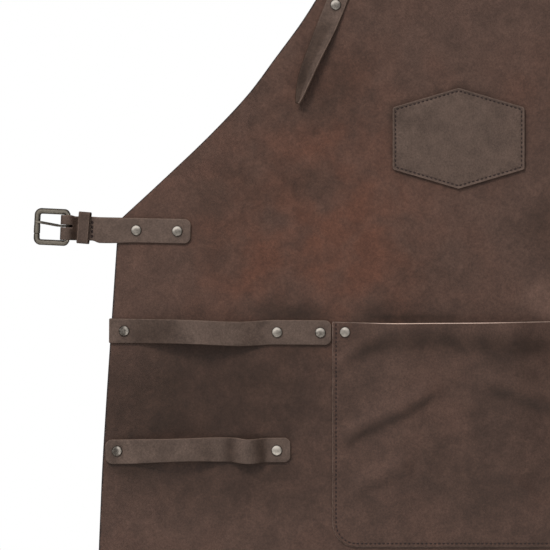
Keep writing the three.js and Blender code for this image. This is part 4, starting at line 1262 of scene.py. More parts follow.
def make_pocket(scene):
    """The sewn pocket with its raw mouth and soft folds."""
    rows = merged(
        POCKET_TOP + np.array(MOUTH_STOPS),
        np.arange(POCKET_TOP + POCKET_FIRST_ROW, POCKET_BOTTOM - POCKET_CORNER, POCKET_STEP),
        POCKET_BOTTOM - corner_stops(POCKET_CORNER),
        POCKET_BOTTOM - np.array(SEAM_STOPS),
    )
    half = POCKET_HALF - corner_inset(POCKET_BOTTOM - rows, POCKET_CORNER)
    x = spread_across(half, SEAM_STOPS, POCKET_COLUMNS)
    row = rows[:, None] + np.zeros_like(x)
    dip = curve_through(POCKET_DIP, x.reshape(-1))[:, 0].reshape(x.shape)
    drop = row + dip * (POCKET_BOTTOM - row) / POCKET_HEIGHT
    folds, fold_shade_and_highlight = pocket_folds(x, drop)
    y = panel_front(x, drop) - GAP - POCKET_THICK / 2 - pocket_bulge(x, drop, folds)
    mid = np.stack([x, y, -drop], -1)
    sewn = np.maximum(pocket_inset(x, row), 0)
    mouth = row - POCKET_TOP
    inset = np.minimum(sewn, mouth)
    pressed = SEAM_DEPTH * peak(sewn - SEAM_IN, SEAM_HALF)
    bevel = np.clip(mouth / MOUTH_BEVEL, 0, 1)
    front = POCKET_THICK * np.minimum(rim_share(sewn) / 2, bevel - 0.5 + MOUTH_LEAST) - pressed * bevel
    at_mouth = mouth < MOUTH_RAW
    raw = np.where(at_mouth, MOUTH_RAW, RAW_EDGE)
    # Painted highlight on the mouth's raw edge where it is lit, dimmer to the right, and painted light along
    # the other edges
    lit = smooth((x - MOUTH_LIT_FROM) / MOUTH_LIT_RUN)
    lit = lit * (1 - MOUTH_DIM * smooth((x - MOUTH_DIM_FROM) / MOUTH_DIM_RUN))
    pale = EDGE_PALE + np.where(at_mouth, MOUTH_PALE * lit, SIDE_PALE * smooth(1 - mouth / SIDE_PALE_RUN))
    fields = {"dark": clouds_at(POCKET_DARK, x, drop) + fold_shade_and_highlight, "pale": pale}
    finish = leather_finish(scene, "pocket")
    piece = leather_sheet("pocket_leather_sheet", mid, inset, POCKET_THICK, finish, front, fields, raw)
    settle(piece, "panel_leather", "pocket")


# Straps


def strap_grid(centre, out, half, columns, shift=0.0, cup=None):
    """Middle points of a strap from stations along it, and their distances in from its edges.

    shift moves the strap off its stations, across, and cup gives its rise from each place's share across.
    """
    along = unit(np.gradient(centre, axis=0))
    across = unit(np.cross(out, along))
    out = np.cross(along, across)
    offsets = spread_across(half, RIM_STOPS, columns)
    mid = centre[:, None] + across[:, None] * (offsets + np.reshape(shift, (-1, 1)))[..., None]
    if cup is not None:
        share = (offsets / half[:, None] + 1) / 2
        mid = mid + out[:, None] * cup(share)[..., None]
    run = lengths_along(centre)
    ends = np.minimum(run, run[-1] - run)[:, None]
    return mid, np.minimum(half[:, None] - np.abs(offsets), ends)


def strap_piece(scene, node, grid, dark=0.0, lit_side=1):
    """A strap's leather, settled in place of its solid, with its lighter rubbed rim on one side only: wear
    with a painted highlight on its lit edge.
    """
    mid, inset = grid
    other = np.arange(inset.shape[1]) < inset.shape[1] / 2
    rim = inset + SHADED_SIDE_RIM_SHIFT * (other if lit_side > 0 else ~other)
    fields = {"dark": np.broadcast_to(dark, inset.shape), "rim": rim}
    finish = leather_finish(scene, "strap")
    piece = leather_sheet(node + "_sheet", mid, inset, STRAP_THICK, finish, fields=fields)
    settle(piece, "strap_leather", node)
    return piece


def strap_seat(x, drop):
    """Depth of a strap's middle layer where it lies on the panel."""
    return panel_front(x, drop) - GAP - STRAP_THICK / 2


def loop_line(strap, x):
    """Middle line of a loop strap at some places along it, and how much it narrows there."""
    first, second = strap["held"]
    share = (x - strap["start"]) / (strap["end"] - strap["start"])
    between = np.clip((x - first) / (second - first), 0, 1) ** strap["skew"]
    sag = strap["sag"] * np.sin(math.pi * between) ** 2
    drop = strap["drops"][0] * (1 - share) + strap["drops"][1] * share + sag
    hump, narrowed = np.zeros_like(x), np.zeros_like(x)
    for start, end, height, hang, narrowing in strap["humps"]:
        bulge = np.sin(math.pi * np.clip((x - start) / (end - start), 0, 1)) ** 2
        hump += height * bulge
        drop += hang * bulge
        narrowed += narrowing * bulge
    return np.stack([x, strap_seat(x, drop) - hump, -drop], -1), narrowed


def make_loop_strap(scene, strap):
    """One strap riveted across the left side as a loop."""
    length = strap["end"] - strap["start"]
    first, last = strap["corners"]
    run = merged(
        stops_along(length, STRAP_STEP), corner_stops(first), length - corner_stops(last), least=0.11
    )
    centre, narrowed = loop_line(strap, strap["start"] + run)
    half = STRAP_WIDTH / 2 - narrowed - corner_inset(run, first) - corner_inset(length - run, last)
    grid = strap_grid(centre, np.broadcast_to(FRONT, centre.shape), half, STRAP_COLUMNS)
    # Darker tone of the strap, with painted shade in its valleys
    dark = clouds_at(STRAP_DARK_AND_SHADE, grid[0][..., 0], -grid[0][..., 2])
    strap_piece(scene, strap["node"], grid, dark)


def waist_matrix(side):
    """Frame of a waist strap at its outer rivet: its local X runs along the turned-back panel."""
    x = side * WAIST_RIVET
    place = Matrix.Translation((x, float(panel_front(x, WAIST_DROP)), -WAIST_DROP))
    turn = Matrix.Rotation(side * SIDE_TURN, 4, "Z") @ Matrix.Rotation(-side * WAIST_TILT, 4, "Y")
    return place @ turn


def outwards(from_centre):
    """Distance along a waist strap, from its outer rivet to a place that is given from the centre line."""
    return (from_centre - WAIST_RIVET) / math.cos(SIDE_TURN)


def layer_spread(away):
    """How far the folded strap's layers lie off its middle, at a distance from the bar."""
    return LAYER_OFFSET + (FOLD_RADIUS - LAYER_OFFSET) * smooth(1 - away / FOLD_RUN)


def buckle_plan():
    """Plan of the buckle strap's middle layer: along the front, round the bar and back behind."""
    bar = -outwards(BAR_X)
    start = -outwards(WAIST_END)
    flap = -outwards(FLAP_END_X)
    length = start - (bar + FOLD_RUN)
    run = merged(RIM_STOPS, corner_stops(WAIST_CORNER), np.arange(FIRST_STOP, length - STOP_ROOM, STRAP_STEP))
    back = np.linspace(0, FOLD_RUN, FOLD_STEPS + 1)[1:]
    away = back[::-1]
    turn = np.linspace(0, math.pi, BEND_STEPS + 1)
    round_bar = bar - (FOLD_RADIUS + FOLD_REACH) * np.sin(turn)
    tail = np.arange(bar + FOLD_RUN + 2 * STOP_ROOM, flap - STOP_ROOM, STRAP_STEP)
    tail = np.concatenate([tail, flap - np.array(RIM_STOPS[::-1])])
    x = np.concatenate([start - run, bar + away, round_bar, bar + back, tail])
    y = np.concatenate(
        [
            np.full(len(run), -LAYER_OFFSET),
            -layer_spread(away),
            -FOLD_RADIUS * np.cos(turn),
            layer_spread(back),
            np.full(len(tail), LAYER_OFFSET),
        ]
    )
    inset = np.zeros(len(x))
    inset[: len(run)] = corner_inset(run, WAIST_CORNER)
    return x, y + FOLD_MIDDLE, inset


def slot_shape(bar):
    """Closed body of the slot punched across the fold, longer in front, where the prong lifts."""
    turn = np.linspace(-math.pi / 2, math.pi / 2, SLOT_END_POINTS)
    z = SLOT_RISE + SLOT_HALF * np.concatenate([[-1], np.sin(turn), [1]])
    count = len(z)
    depth = 2 * FOLD_RADIUS
    layers = []
    for y, after in (
        (-depth, SLOT_AFTER_FRONT),
        (-SLOT_STEP, SLOT_AFTER_FRONT),
        (SLOT_STEP, SLOT_AFTER_BACK),
        (depth, SLOT_AFTER_BACK),
    ):
        end = after + SLOT_HALF * (np.cos(turn) - 1)
        x = bar + np.concatenate([[-SLOT_BEFORE], end, [-SLOT_BEFORE]])
        layers.append(np.stack([x, np.full(count, FOLD_MIDDLE + y), z], -1))
    last = count * (len(layers) - 1)
    caps = [list(range(count)), [last + i for i in reversed(range(count))]]
    return np.concatenate(layers), caps + ring_quads(len(layers), count)


def make_buckle_strap(scene):
    """The short strap that folds round the buckle's bar, with the slot for the prong."""
    x, y, inset = buckle_plan()
    centre = np.stack([x, y, np.zeros_like(x)], -1)
    along = unit(np.gradient(centre, axis=0))
    out = np.stack([-along[:, 1], along[:, 0], np.zeros_like(x)], -1)
    bar = -outwards(BAR_X)
    narrow = smooth((-outwards(NARROW_X - NARROW_RUN) - x) / NARROW_RUN)
    at_bar = smooth((bar + FOLD_UP_START + FOLD_UP_RUN - x) / FOLD_UP_RUN)
    spread = SPREAD_DOWN * smooth((-outwards(WAIST_RIVET) - x) / SPREAD_RUN)
    down = STRAP_WIDTH / 2 + spread + (NARROW_DOWN - STRAP_WIDTH / 2 - spread) * narrow - inset
    up = STRAP_WIDTH / 2 + (NARROW_UP - STRAP_WIDTH / 2) * narrow + (FOLD_UP - NARROW_UP) * at_bar - inset
    mid, rim = strap_grid(centre, out, (up + down) / 2, STRAP_COLUMNS, (down - up) / 2)
    lean = smooth((bar + 2 * FOLD_RUN - mid[..., 0]) / FOLD_RUN) * math.tan(BUCKLE_LEAN)
    mid[..., 0] += lean * (mid[..., 2] - FRAME_RISE)
    matrix = waist_matrix(-1)
    # Painted shade in the crease beside the fold, where the strap narrows, and at the fold's turned-in edge
    crease = peak(x - bar - FOLD_CREASE_SHADE_AT, FOLD_CREASE_SHADE_HALF)
    turned_in = smooth((bar - FOLD_SHADE_FROM * (FOLD_RADIUS + FOLD_REACH) - x) / FOLD_SHADE_RUN)
    dark = (crease + NARROW_SHADE * narrow + FOLD_SHADE * turned_in)[:, None]
    grid = placed(matrix, mid), rim
    piece = strap_piece(scene, "buckle_strap", grid, dark, -1)
    points, faces = slot_shape(bar)
    points[:, 2] += math.tan(BUCKLE_LEAN) * (bar - points[:, 0])
    cut_out(piece, [(placed(matrix, points), faces)])


def make_keeper(scene):
    """The leather band round the folded strap, its ends butted behind."""
    face = LAYER_OFFSET + STRAP_THICK / 2
    back = -(face + GAP) - KEEPER_THICK / 2
    front = face + KEEPER_ROOM + KEEPER_THICK / 2
    low, high = -KEEPER_DOWN + KEEPER_THICK / 2, KEEPER_UP - KEEPER_THICK / 2
    middle = (low + high) / 2
    start, stop = (back, middle - KEEPER_BUTT), (back, middle + KEEPER_BUTT)
    corners = [start, (back, low), (front, low), (front, high), (back, high), stop]
    loop = rounded_line(corners, [KEEPER_CORNER - KEEPER_THICK / 2] * 4, run_steps=12, arc_steps=8)
    away = unit(np.gradient(loop, axis=0))
    centre = np.stack([np.zeros(len(loop)), -loop[:, 0], loop[:, 1]], -1)
    out = np.stack([np.zeros(len(loop)), -away[:, 1], -away[:, 0]], -1)
    mid, rim = strap_grid(centre, out, np.full(len(loop), KEEPER_WIDTH / 2), KEEPER_COLUMNS)
    lean = Matrix.Rotation(KEEPER_LEAN, 4, "Y")
    matrix = waist_matrix(-1) @ Matrix.Translation((-outwards(KEEPER_X), FOLD_MIDDLE, 0)) @ lean
    fields = {"dark": np.full(rim.shape, KEEPER_SHADE)}
    finish = leather_finish(scene, "strap")
    piece = leather_sheet("strap_keeper_sheet", placed(matrix, mid), rim, KEEPER_THICK, finish, fields=fields)
    settle(piece, "strap_leather", "strap_keeper")


def refined(stations, step):
    """Stations along a strap, closer together, on curves through the given ones; also the distance along."""
    run = lengths_along(stations[:, :3])
    at = stops_along(run[-1], step)
    return curve_through(np.column_stack([run, stations]), at), at, run[-1]


def bend_at(bend, run):
    """Angle of a bend at a distance along the strap."""
    start, length, angle = bend
    return angle * smooth((run - start) / length)


def make_waist_strap(scene):
    """The long strap on the right: flat on the panel, then it turns face up, droops and hangs."""
    edge = outwards(float(panel_half(np.array([WAIST_DROP]))[0]))
    inner = outwards(WAIST_END)
    y = -(GAP + STRAP_THICK / 2)
    stations = [(inner, y, 0, 0, -1, 0), (inner + (edge - inner) / 2, y, 0, 0, -1, 0)]
    centre = np.array([edge, y, 0.0])
    for run in np.arange(0, WAIST_FREE + WAIST_STEP / 2, WAIST_STEP):
        droop = bend_at(DROOP, run)
        roll = bend_at(ROLL_OVER, run) + bend_at(ROLL_BACK, run)
        upper = np.array([math.sin(droop), 0, math.cos(droop)])
        out = FRONT * math.cos(roll) + upper * math.sin(roll)
        stations.append((*centre, *out))
        centre = centre + np.array([math.cos(droop), 0, -math.sin(droop)]) * WAIST_STEP
    fine, at, length = refined(np.array(stations), WAIST_FINE_STEP)
    to_tip = np.minimum((length - at) / WAIST_POINT, 1)
    half = WAIST_TIP_HALF + (STRAP_WIDTH / 2 - WAIST_TIP_HALF) * to_tip - corner_inset(at, WAIST_CORNER)
    centre, out = fine[:, :3], unit(fine[:, 3:])
    mid, rim = strap_grid(centre, out, half, STRAP_COLUMNS)
    matrix = waist_matrix(1)
    grid = placed(matrix, mid), rim
    piece = strap_piece(scene, "waist_strap", grid)
    holes = []
    for k in range(PUNCH_COUNT):
        i = int(np.argmin(np.abs(length - at - PUNCH_FIRST - k * PUNCH_PITCH)))
        line = centre[i] + out[i] * np.linspace(-PUNCH_DEPTH, PUNCH_DEPTH, 3)[:, None]
        along = unit(centre[i + 1] - centre[i])
        points, faces = sweep(line, along, PUNCH_RADIUS, PUNCH_RADIUS, PUNCH_SIDES)
        holes.append((placed(matrix, points), faces))
    cut_out(piece, holes)


def neck_stations():
    """Stations of the neck strap: (centre, out, half width, cup) from the tail's tip to the right end."""
    stations = []
    drops = np.linspace(TAIL[-1][0], TAIL[0][0], TAIL_STEPS + 1)[:-1]
    for drop, (x, half, lift, cup) in zip(drops, curve_through(TAIL, drops)):
        stations.append((x, float(strap_seat(x, drop)) - lift, -drop, *FRONT, half, cup))
    length = (NECK_RIVET_X - NECK_ARCH * math.cos(NECK_LEAN)) / math.sin(NECK_LEAN)
    legs = {}
    for side in (-1, 1):
        lean = np.array([-side * math.sin(NECK_LEAN), 0, math.cos(NECK_LEAN)])
        outer = np.array([side * math.cos(NECK_LEAN), 0, math.sin(NECK_LEAN)])
        y = float(strap_seat(side * NECK_RIVET_X, NECK_RIVET_DROP))
        foot = np.array([side * NECK_RIVET_X, y, -NECK_RIVET_DROP])
        legs[side] = []
        for i in range(LEG_STEPS):
            run = length * i / LEG_STEPS
            turned = float(smooth((run - NECK_TWIST_START) / (length - NECK_TWIST_START)))
            centre = foot + lean * run
            centre[1] = y * (1 - turned)
            out = FRONT * math.cos(turned * math.pi / 2) + outer * math.sin(turned * math.pi / 2)
            legs[side].append((*centre, *out, NECK_WIDTH / 2, 0))
    stations += legs[-1]
    for angle in np.linspace(math.pi - NECK_LEAN, NECK_LEAN, ARCH_STEPS + 1):
        out = np.array([math.cos(angle), 0, math.sin(angle)])
        centre = out * NECK_ARCH + np.array([0, 0, STRAP_THICK / 2 - NECK_ARCH])
        stations.append((*centre, *out, NECK_WIDTH / 2, 0))
    stations += legs[1][::-1]
    end = np.array(legs[1][0][:3]) + np.array([math.sin(NECK_LEAN), 0, -math.cos(NECK_LEAN)]) * NECK_END
    stations.append((*end, *FRONT, NECK_WIDTH / 2, 0))
    return np.array(stations)


def make_neck_strap(scene):
    """The neck loop with the loose, gutter-shaped tail on the left."""
    fine, at, length = refined(neck_stations(), NECK_FINE_STEP)
    half = fine[:, 6] - corner_inset(length - at, NECK_CORNER)
    depth = fine[:, 7][:, None]

    def cup(share):
        """Rise of the tail's gutter, from 0 at its right edge to 1 at its left edge."""
        right = np.clip(1 - share / (1 - CREASE_AT), 0, 1) ** CUP_RIGHT_POWER
        left = np.clip((share - (1 - CREASE_AT)) / CREASE_AT, 0, 1) ** CUP_LEFT_POWER
        return depth * (right + CUP_LEFT_SHARE * left)

    grid = strap_grid(fine[:, :3], unit(fine[:, 3:6]), half, NECK_COLUMNS, cup=cup)
    # Painted shade across the tail, darker on its left part that faces away from the light
    share = (spread_across(half, RIM_STOPS, NECK_COLUMNS) / half[:, None] + 1) / 2
    to_left = smooth((share - TAIL_SHADE_FROM) / TAIL_SHADE_RUN)
    dark = TAIL_SHADE_RIGHT + (TAIL_SHADE_LEFT - TAIL_SHADE_RIGHT) * to_left
    dark = smooth(depth / TAIL_SHADE_CUP) * dark
    strap_piece(scene, "neck_strap", grid, dark, -1)


# Metal


def hinge_matrix(rise):
    """Frame of the buckle at its hinge bar: x along the strap, y up the bar and z towards the front."""
    hinge = Matrix.Translation((-outwards(BAR_X), FOLD_MIDDLE, 0)) @ Matrix.Rotation(math.pi / 2, 4, "X")
    lean = Matrix.Translation((0, FRAME_RISE, 0)) @ Matrix.Rotation(-BUCKLE_LEAN, 4, "Z")
    return waist_matrix(-1) @ hinge @ lean @ Matrix.Translation((0, rise - FRAME_RISE, 0))


def frame_body():
    """Points and faces of the buckle's frame with its hinge bar, and how far each point is rubbed and lit:
    bright on the front crest, with painted shade towards the sides of the rounded bar.
    """
    top = FRAME_HALF_HEIGHT - FRAME_BAND / 2
    far = -FRAME_REACH + FRAME_FAR_BAND / 2
    heel = FRAME_HALF_HEIGHT - FRAME_BAND
    near = -FRAME_HEEL
    corners = [(near, heel), (near, top), (far, top), (far, -top), (near, -top), (near, -heel)]
    heel_radius = FRAME_BAND / 2 - FRAME_HEEL_LEAST
    far_radius = FRAME_CORNER - FRAME_BAND / 2
    radii = [heel_radius, far_radius, far_radius, heel_radius]
    flat = rounded_line(corners, radii, run_steps=60, arc_steps=12)
    x, y = flat.T
    on_far = smooth((far + FRAME_FAR_RUN - x) / FRAME_FAR_RUN)
    groove = peak(y - FRAME_SEAM_AT, FRAME_SEAM_HALF) * on_far
    sleeve = smooth((y - FRAME_SEAM_AT) / FRAME_SLEEVE_RUN) * on_far
    sleeve = sleeve * smooth((PRONG_TIP_RISE - FRAME_SLEEVE_BELOW - y) / FRAME_SLEEVE_RUN)
    scale = 1 - FRAME_SEAM_DEPTH * groove + FRAME_SLEEVE * sleeve
    wide = (FRAME_BAND + (FRAME_FAR_BAND - FRAME_BAND) * on_far) / 2 * scale
    line = np.column_stack([flat, np.zeros(len(flat))])
    band = sweep(line, (0, 0, 1), wide, FRAME_THICK / 2 * scale, FRAME_SIDES)
    bar_end = heel + BAR_PAST_HEEL
    bar_line = np.outer(np.linspace(-bar_end, bar_end, BAR_POINTS), (0, 1, 0))
    points, faces = joined([band, sweep(bar_line, (0, 0, 1), BAR_RADIUS, BAR_RADIUS, BAR_SIDES)])
    # Bright on the front crest and painted darker towards the sides as shade across the bar; dark in the seam
    # groove
    worn_and_lit = np.clip(points[:, 2] / (FRAME_THICK / 2), 0, 1) ** FRAME_WEAR_AND_SHADE_POWER
    worn_and_lit[: len(line) * FRAME_SIDES] *= 1 - np.repeat(groove, FRAME_SIDES)
    return points, faces, worn_and_lit


def prong_body():
    """Points and faces of the prong, from its tip to its eye, and how far each point is rubbed, with a
    painted highlight near its eye.
    """
    eye = BAR_RADIUS + EYE_CLEARANCE + EYE_HALF
    tip = np.array([-FRAME_REACH + PRONG_PAST_EDGE, PRONG_TIP_RISE, FRAME_THICK / 2 + GAP + PRONG_RADIUS])
    turns = np.linspace(PRONG_EYE_START, PRONG_EYE_END, PRONG_EYE_POINTS)
    ring = eye * np.stack([np.sin(turns), np.zeros_like(turns), np.cos(turns)], -1)
    root = ring[0]
    bend = np.array([-PRONG_BEND, 0, np.interp(-PRONG_BEND, [tip[0], root[0]], [tip[2], root[2]])])
    bends = np.concatenate([[tip, (tip + bend) / 2, bend], ring])
    run = lengths_along(bends)
    at = np.linspace(0, run[-1], PRONG_POINTS)
    line = curve_through(np.column_stack([run, bends]), at)
    out = np.cross((0, 1, 0), unit(np.gradient(line, axis=0)))
    past_bend, to_eye = at - run[2], run[3] - at
    taper = PRONG_TIP_SHARE + (1 - PRONG_TIP_SHARE) * smooth(at / PRONG_TIP_RUN)
    wide = PRONG_RADIUS * taper * (1 - PRONG_WAIST * smooth(past_bend / PRONG_WAIST_RUN + 1))
    full = smooth((to_eye - PRONG_FLAT_BEFORE) / PRONG_FLAT_RUN)
    tall = taper * (EYE_HALF + (PRONG_RADIUS - EYE_HALF) * full)
    points, faces = sweep(line, out, wide, tall, PRONG_SIDES)
    worn = 1 - smooth((at - PRONG_WORN_TIP) / PRONG_WORN_RUN)
    # Rubbed tip, and a painted highlight where the prong loops round the bar
    worn = PRONG_DULL + worn + peak(to_eye - PRONG_EYE_HIGHLIGHT_AT, PRONG_EYE_HIGHLIGHT_HALF)
    station = np.append(np.repeat(np.arange(PRONG_POINTS), PRONG_SIDES), [0, PRONG_POINTS - 1])
    facing = (points - line[station])[:, 2] / tall[station]
    worn_and_lit = np.clip(PRONG_SIDE_WEAR + PRONG_FACE_WEAR * facing, 0, 1) * worn[station]
    return points, faces, worn_and_lit


def make_buckle(scene):
    """The buckle's frame with its hinge bar, and the prong."""
    metal = scene.apron_metal
    finish = [finished("buckle_finish", antique_metal, metal.buckle, metal.buckle_dark)]
    points, faces, worn_and_lit = frame_body()
    points = placed(hinge_matrix(FRAME_RISE), points)
    piece = new_piece("buckle_frame_cast", points, faces, finish, fields={"worn_and_lit": worn_and_lit})
    settle(piece, "buckle_metal", "buckle_frame", body="frame")
    points, faces, worn_and_lit = prong_body()
    points = placed(hinge_matrix(SLOT_RISE), points)
    piece = new_piece("buckle_prong_wire", points, faces, finish, fields={"worn_and_lit": worn_and_lit})
    settle(piece, "buckle_metal", "buckle_prong", body="prong")


def soft_rim(radius, end):
    """Quarter round from the side of a cap to the flat on which it ends."""
    turn = np.linspace(0, math.pi / 2, RIVET_RIM_STEPS + 1)[1:]
    rounded = RIVET_SOFT * np.column_stack([np.cos(turn), np.sin(turn)])
    return np.array([radius - RIVET_SOFT, end - RIVET_SOFT]) + rounded


def rivet_profile(stack):
    """Turned outline of a rivet whose caps hold a stack of leather and the panel."""
    cap = -(stack + GAP)
    back = PANEL_THICK + GAP
    end = back + RIVET_BACK_THICK
    radii = RIVET_CAP * np.sin(np.linspace(0, math.pi / 2, RIVET_DOME_POINTS))
    dome = (RIVET_DOME - RIVET_RIM) * (1 - (radii / RIVET_CAP) ** 2) ** RIVET_DOME_POWER
    return np.concatenate(
        [
            np.column_stack([radii, cap - RIVET_RIM - dome]),
            [(RIVET_CAP, cap - RIVET_SOFT)],
            soft_rim(RIVET_CAP, cap),
            [(RIVET_SHANK, cap), (RIVET_SHANK, back)],
            [(RIVET_BACK - RIVET_SOFT, back), (RIVET_BACK, back + RIVET_SOFT)],
            [(RIVET_BACK, end - RIVET_SOFT)],
            soft_rim(RIVET_BACK, end),
            [(RIVET_BACK / 2, end), (0, end)],
        ]
    )


def make_rivets(scene):
    """Every rivet, each in place of its solid."""
    metal = scene.apron_metal
    finish = [finished("rivet_finish", antique_metal, metal.rivet, metal.rivet_dark)]
    for node in sorted(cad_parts):
        if "_rivet_" not in node:
            continue
        low, high = box_mm(node)
        stack = (POCKET_THICK if node.startswith("pocket") else STRAP_THICK) + GAP
        points, faces = lathe(rivet_profile(stack), RIVET_SEGMENTS)
        across, up = points[:, 0] / RIVET_CAP, points[:, 2] / RIVET_CAP
        away = np.hypot(across, up)
        # Rubbed middle, a painted highlight arc on one side, and a dark rim as a painted shadow round the cap
        middle, highlight, angle = RIVET_WEAR_AND_HIGHLIGHT.get(node, USUAL_WEAR_AND_HIGHLIGHT)
        side = across * math.cos(angle) + up * math.sin(angle)
        ring = peak(away - RIVET_HIGHLIGHT_AT, RIVET_HIGHLIGHT_HALF)
        ring = ring * smooth((side - RIVET_HIGHLIGHT_SIDE) / RIVET_HIGHLIGHT_RUN)
        worn_and_lit = (middle + (highlight - middle) * ring) * smooth((RIVET_SHADOW_RIM - away) / RIVET_SHADOW_RUN)
        seat = seat_matrix((low[0] + high[0]) / 2, -(low[2] + high[2]) / 2)
        piece = new_piece(node + "_turned", placed(seat, points), faces, finish, fields={"worn_and_lit": worn_and_lit})
        settle(piece, "rivet_metal", node)


# Stitches


def stitch_row(line, out, pitch, radius):
    """Threads of a seam along a line: each dips into the leather at both ends and bows out between."""
    run = lengths_along(line)
    count = max(1, round(run[-1] / pitch))
    holes = np.linspace(0, run[-1], count + 1)
    gap = STITCH_GAP * pitch
    t = np.linspace(0, 1, STITCH_POINTS)
    bow = radius * (STITCH_BOW * np.sin(math.pi * t) - STITCH_SINK)
    shapes = []
    for start, stop in zip(holes, holes[1:]):
        at = start + gap + (stop - start - 2 * gap) * t
        thread = np.stack([np.interp(at, run, line[:, k]) for k in range(3)], -1)
        thread = thread + out * bow[:, None]
        shapes.append(sweep(thread, out, radius, radius * STITCH_FLATNESS, STITCH_SIDES))
    return shapes


def pocket_seam(back):
    """Line of the pocket's seam on its front, or on the back of the panel."""
    side, top, bottom = POCKET_HALF - SEAM_IN, POCKET_TOP + SEAM_START, POCKET_BOTTOM - SEAM_IN
    corners = [(-side, top), (-side, bottom), (side, bottom), (side, top)]
    flat = rounded_line(corners, [POCKET_CORNER - SEAM_IN] * 2, run_steps=80, arc_steps=16)
    x, drop = flat.T
    y = panel_front(x, drop) + (PANEL_THICK if back else SEAM_DEPTH - GAP - POCKET_THICK)
    return np.stack([x, y, -drop], -1)


def patch_seams(back):
    """Straight seams of the patch, one along each of its sides."""
    y = float(panel_front(0, PATCH_DROP)) + (PANEL_THICK if back else SEAM_DEPTH - GAP - PATCH_THICK)
    corners = [(x, y, z - PATCH_DROP) for x, z in patch_corners(PATCH_SEAM_IN)]
    return [np.array(ends) for ends in zip(corners, corners[1:] + corners[:1])]


def make_stitches(scene):
    """Seams of the pocket, the patch and the folded strap, seen in front and behind."""
    thread = scene.apron_thread
    finish = [finished("waxed_thread", waxed_thread, thread.colour)]
    radius = thread.radius / MM
    pitches = thread.pocket_pitch, thread.patch_pitch, thread.strap_pitch
    pocket_pitch, patch_pitch, strap_pitch = (pitch / MM for pitch in pitches)
    matrix = waist_matrix(-1)
    x, off = -outwards(FOLD_SEAM_X), LAYER_OFFSET + STRAP_THICK / 2 - FOLD_SEAM_SINK
    pocket, patch, strap = [], [], []
    for back, out in ((False, FRONT), (True, -FRONT)):
        pocket += stitch_row(pocket_seam(back), out, pocket_pitch, radius)
        for seam in patch_seams(back):
            patch += stitch_row(seam, out, patch_pitch, radius)
        y = FOLD_MIDDLE + (off if back else -off)
        seam = placed(matrix, [(x, y, -FOLD_SEAM_HALF), (x, y, FOLD_SEAM_HALF)])
        strap += stitch_row(seam, np.array(matrix)[:3, :3] @ out, strap_pitch, radius * STRAP_THREAD)
    rows = {"pocket_seam_thread": pocket, "patch_seam_thread": patch, "buckle_strap_seam_thread": strap}
    for name, shapes in rows.items():
        points, faces = joined(shapes)
        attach(new_piece(name, points, faces, finish), BODY)


# Stage


def make_floor(stage):
    """A pale round floor that fades out at its rim."""
    turn = np.linspace(0, 2 * math.pi, FLOOR_SIDES, endpoint=False)
    points = np.column_stack([np.cos(turn), np.sin(turn), np.zeros(FLOOR_SIDES)]) * stage.floor_radius / MM
    finish = [finished("pale_floor", pale_floor, stage)]
    floor = new_piece("studio_floor", points, [range(FLOOR_SIDES)], finish)
    floor.location = (FLOOR_X, 0.0, PANEL_LOW[2] * MM - stage.floor_drop)


def soft_light(tree, direction, light_from, facing, shares, fill):
    """Strength of the light from all round, by how far a direction faces where a soft light comes from."""
    towards = vector_node(tree, "DOT_PRODUCT", direction, Vector(light_from).normalized())["Value"]
    return map_value(tree, towards, *facing, *(share * fill for share in shares))


def make_lights(stage):
    """Soft light from all round, brighter from above and behind, and a large light above the front."""
    world = bpy.data.worlds.new("studio")
    bpy.context.scene.world = world
    world.use_nodes = True
    tree = world.node_tree
    tree.nodes.clear()
    direction = add_node(tree, "ShaderNodeTexCoord").outputs["Generated"]
    above = soft_light(tree, direction, SOFT_LIGHT_FROM, SOFT_LIGHT_RANGE, SOFT_LIGHT_SHARES, stage.fill)
    behind = soft_light(tree, direction, BACK_LIGHT_FROM, BACK_LIGHT_RANGE, BACK_LIGHT_SHARES, stage.fill)
    soft = add_node(tree, "ShaderNodeBackground", {"Strength": math_node(tree, "ADD", above, behind)})
    seen = add_node(tree, "ShaderNodeBackground", {"Color": (1, 1, 1, 1), "Strength": 1.0})
    camera_ray = add_node(tree, "ShaderNodeLightPath").outputs["Is Camera Ray"]
    both = add_node(tree, "ShaderNodeMixShader", {0: camera_ray, 1: soft.outputs[0], 2: seen.outputs[0]})
    add_node(tree, "ShaderNodeOutputWorld", {0: both.outputs[0]})

    key = bpy.data.lights.new("key_light", "AREA")
    key.shape, key.size, key.energy = "DISK", KEY_SIZE, stage.key_power
    lamp = bpy.data.objects.new("key_light", key)
    bpy.context.scene.collection.objects.link(lamp)
    target = Vector((VIEW_X * MM, 0, -VIEW_DROP * MM))
    lamp.visible_glossy = False
    lamp.location = target + KEY_FROM
    lamp.rotation_euler = (target - lamp.location).to_track_quat("-Z", "Y").to_euler()


def make_camera(stage):
    """Camera straight in front of the apron."""
    data = bpy.data.cameras.new("camera")
    data.sensor_width = SENSOR
    data.lens = data.sensor_width * stage.view_distance / stage.view_width
    camera = bpy.data.objects.new("camera", data)
    bpy.context.scene.collection.objects.link(camera)
    camera.location = (VIEW_X * MM, -stage.view_distance, -VIEW_DROP * MM)
    camera.rotation_euler = (math.pi / 2, 0, 0)
    bpy.context.scene.camera = camera


class APRON_OT_stage(bpy.types.Operator):
    """Make the floor, the lights and the camera"""

    bl_idname = "apron.stage"
    bl_label = "Stage"

    def execute(self, context):
        make_camera(context.scene.apron_stage)
        make_floor(context.scene.apron_stage)
        make_lights(context.scene.apron_stage)
        context.scene.view_settings.view_transform = "Standard"
        return {"FINISHED"}


class APRON_OT_panel(bpy.types.Operator):
    """Make the panel of bib and skirt"""

    bl_idname = "apron.panel"
    bl_label = "Panel"

    def execute(self, context):
        make_panel(context.scene)
        return {"FINISHED"}


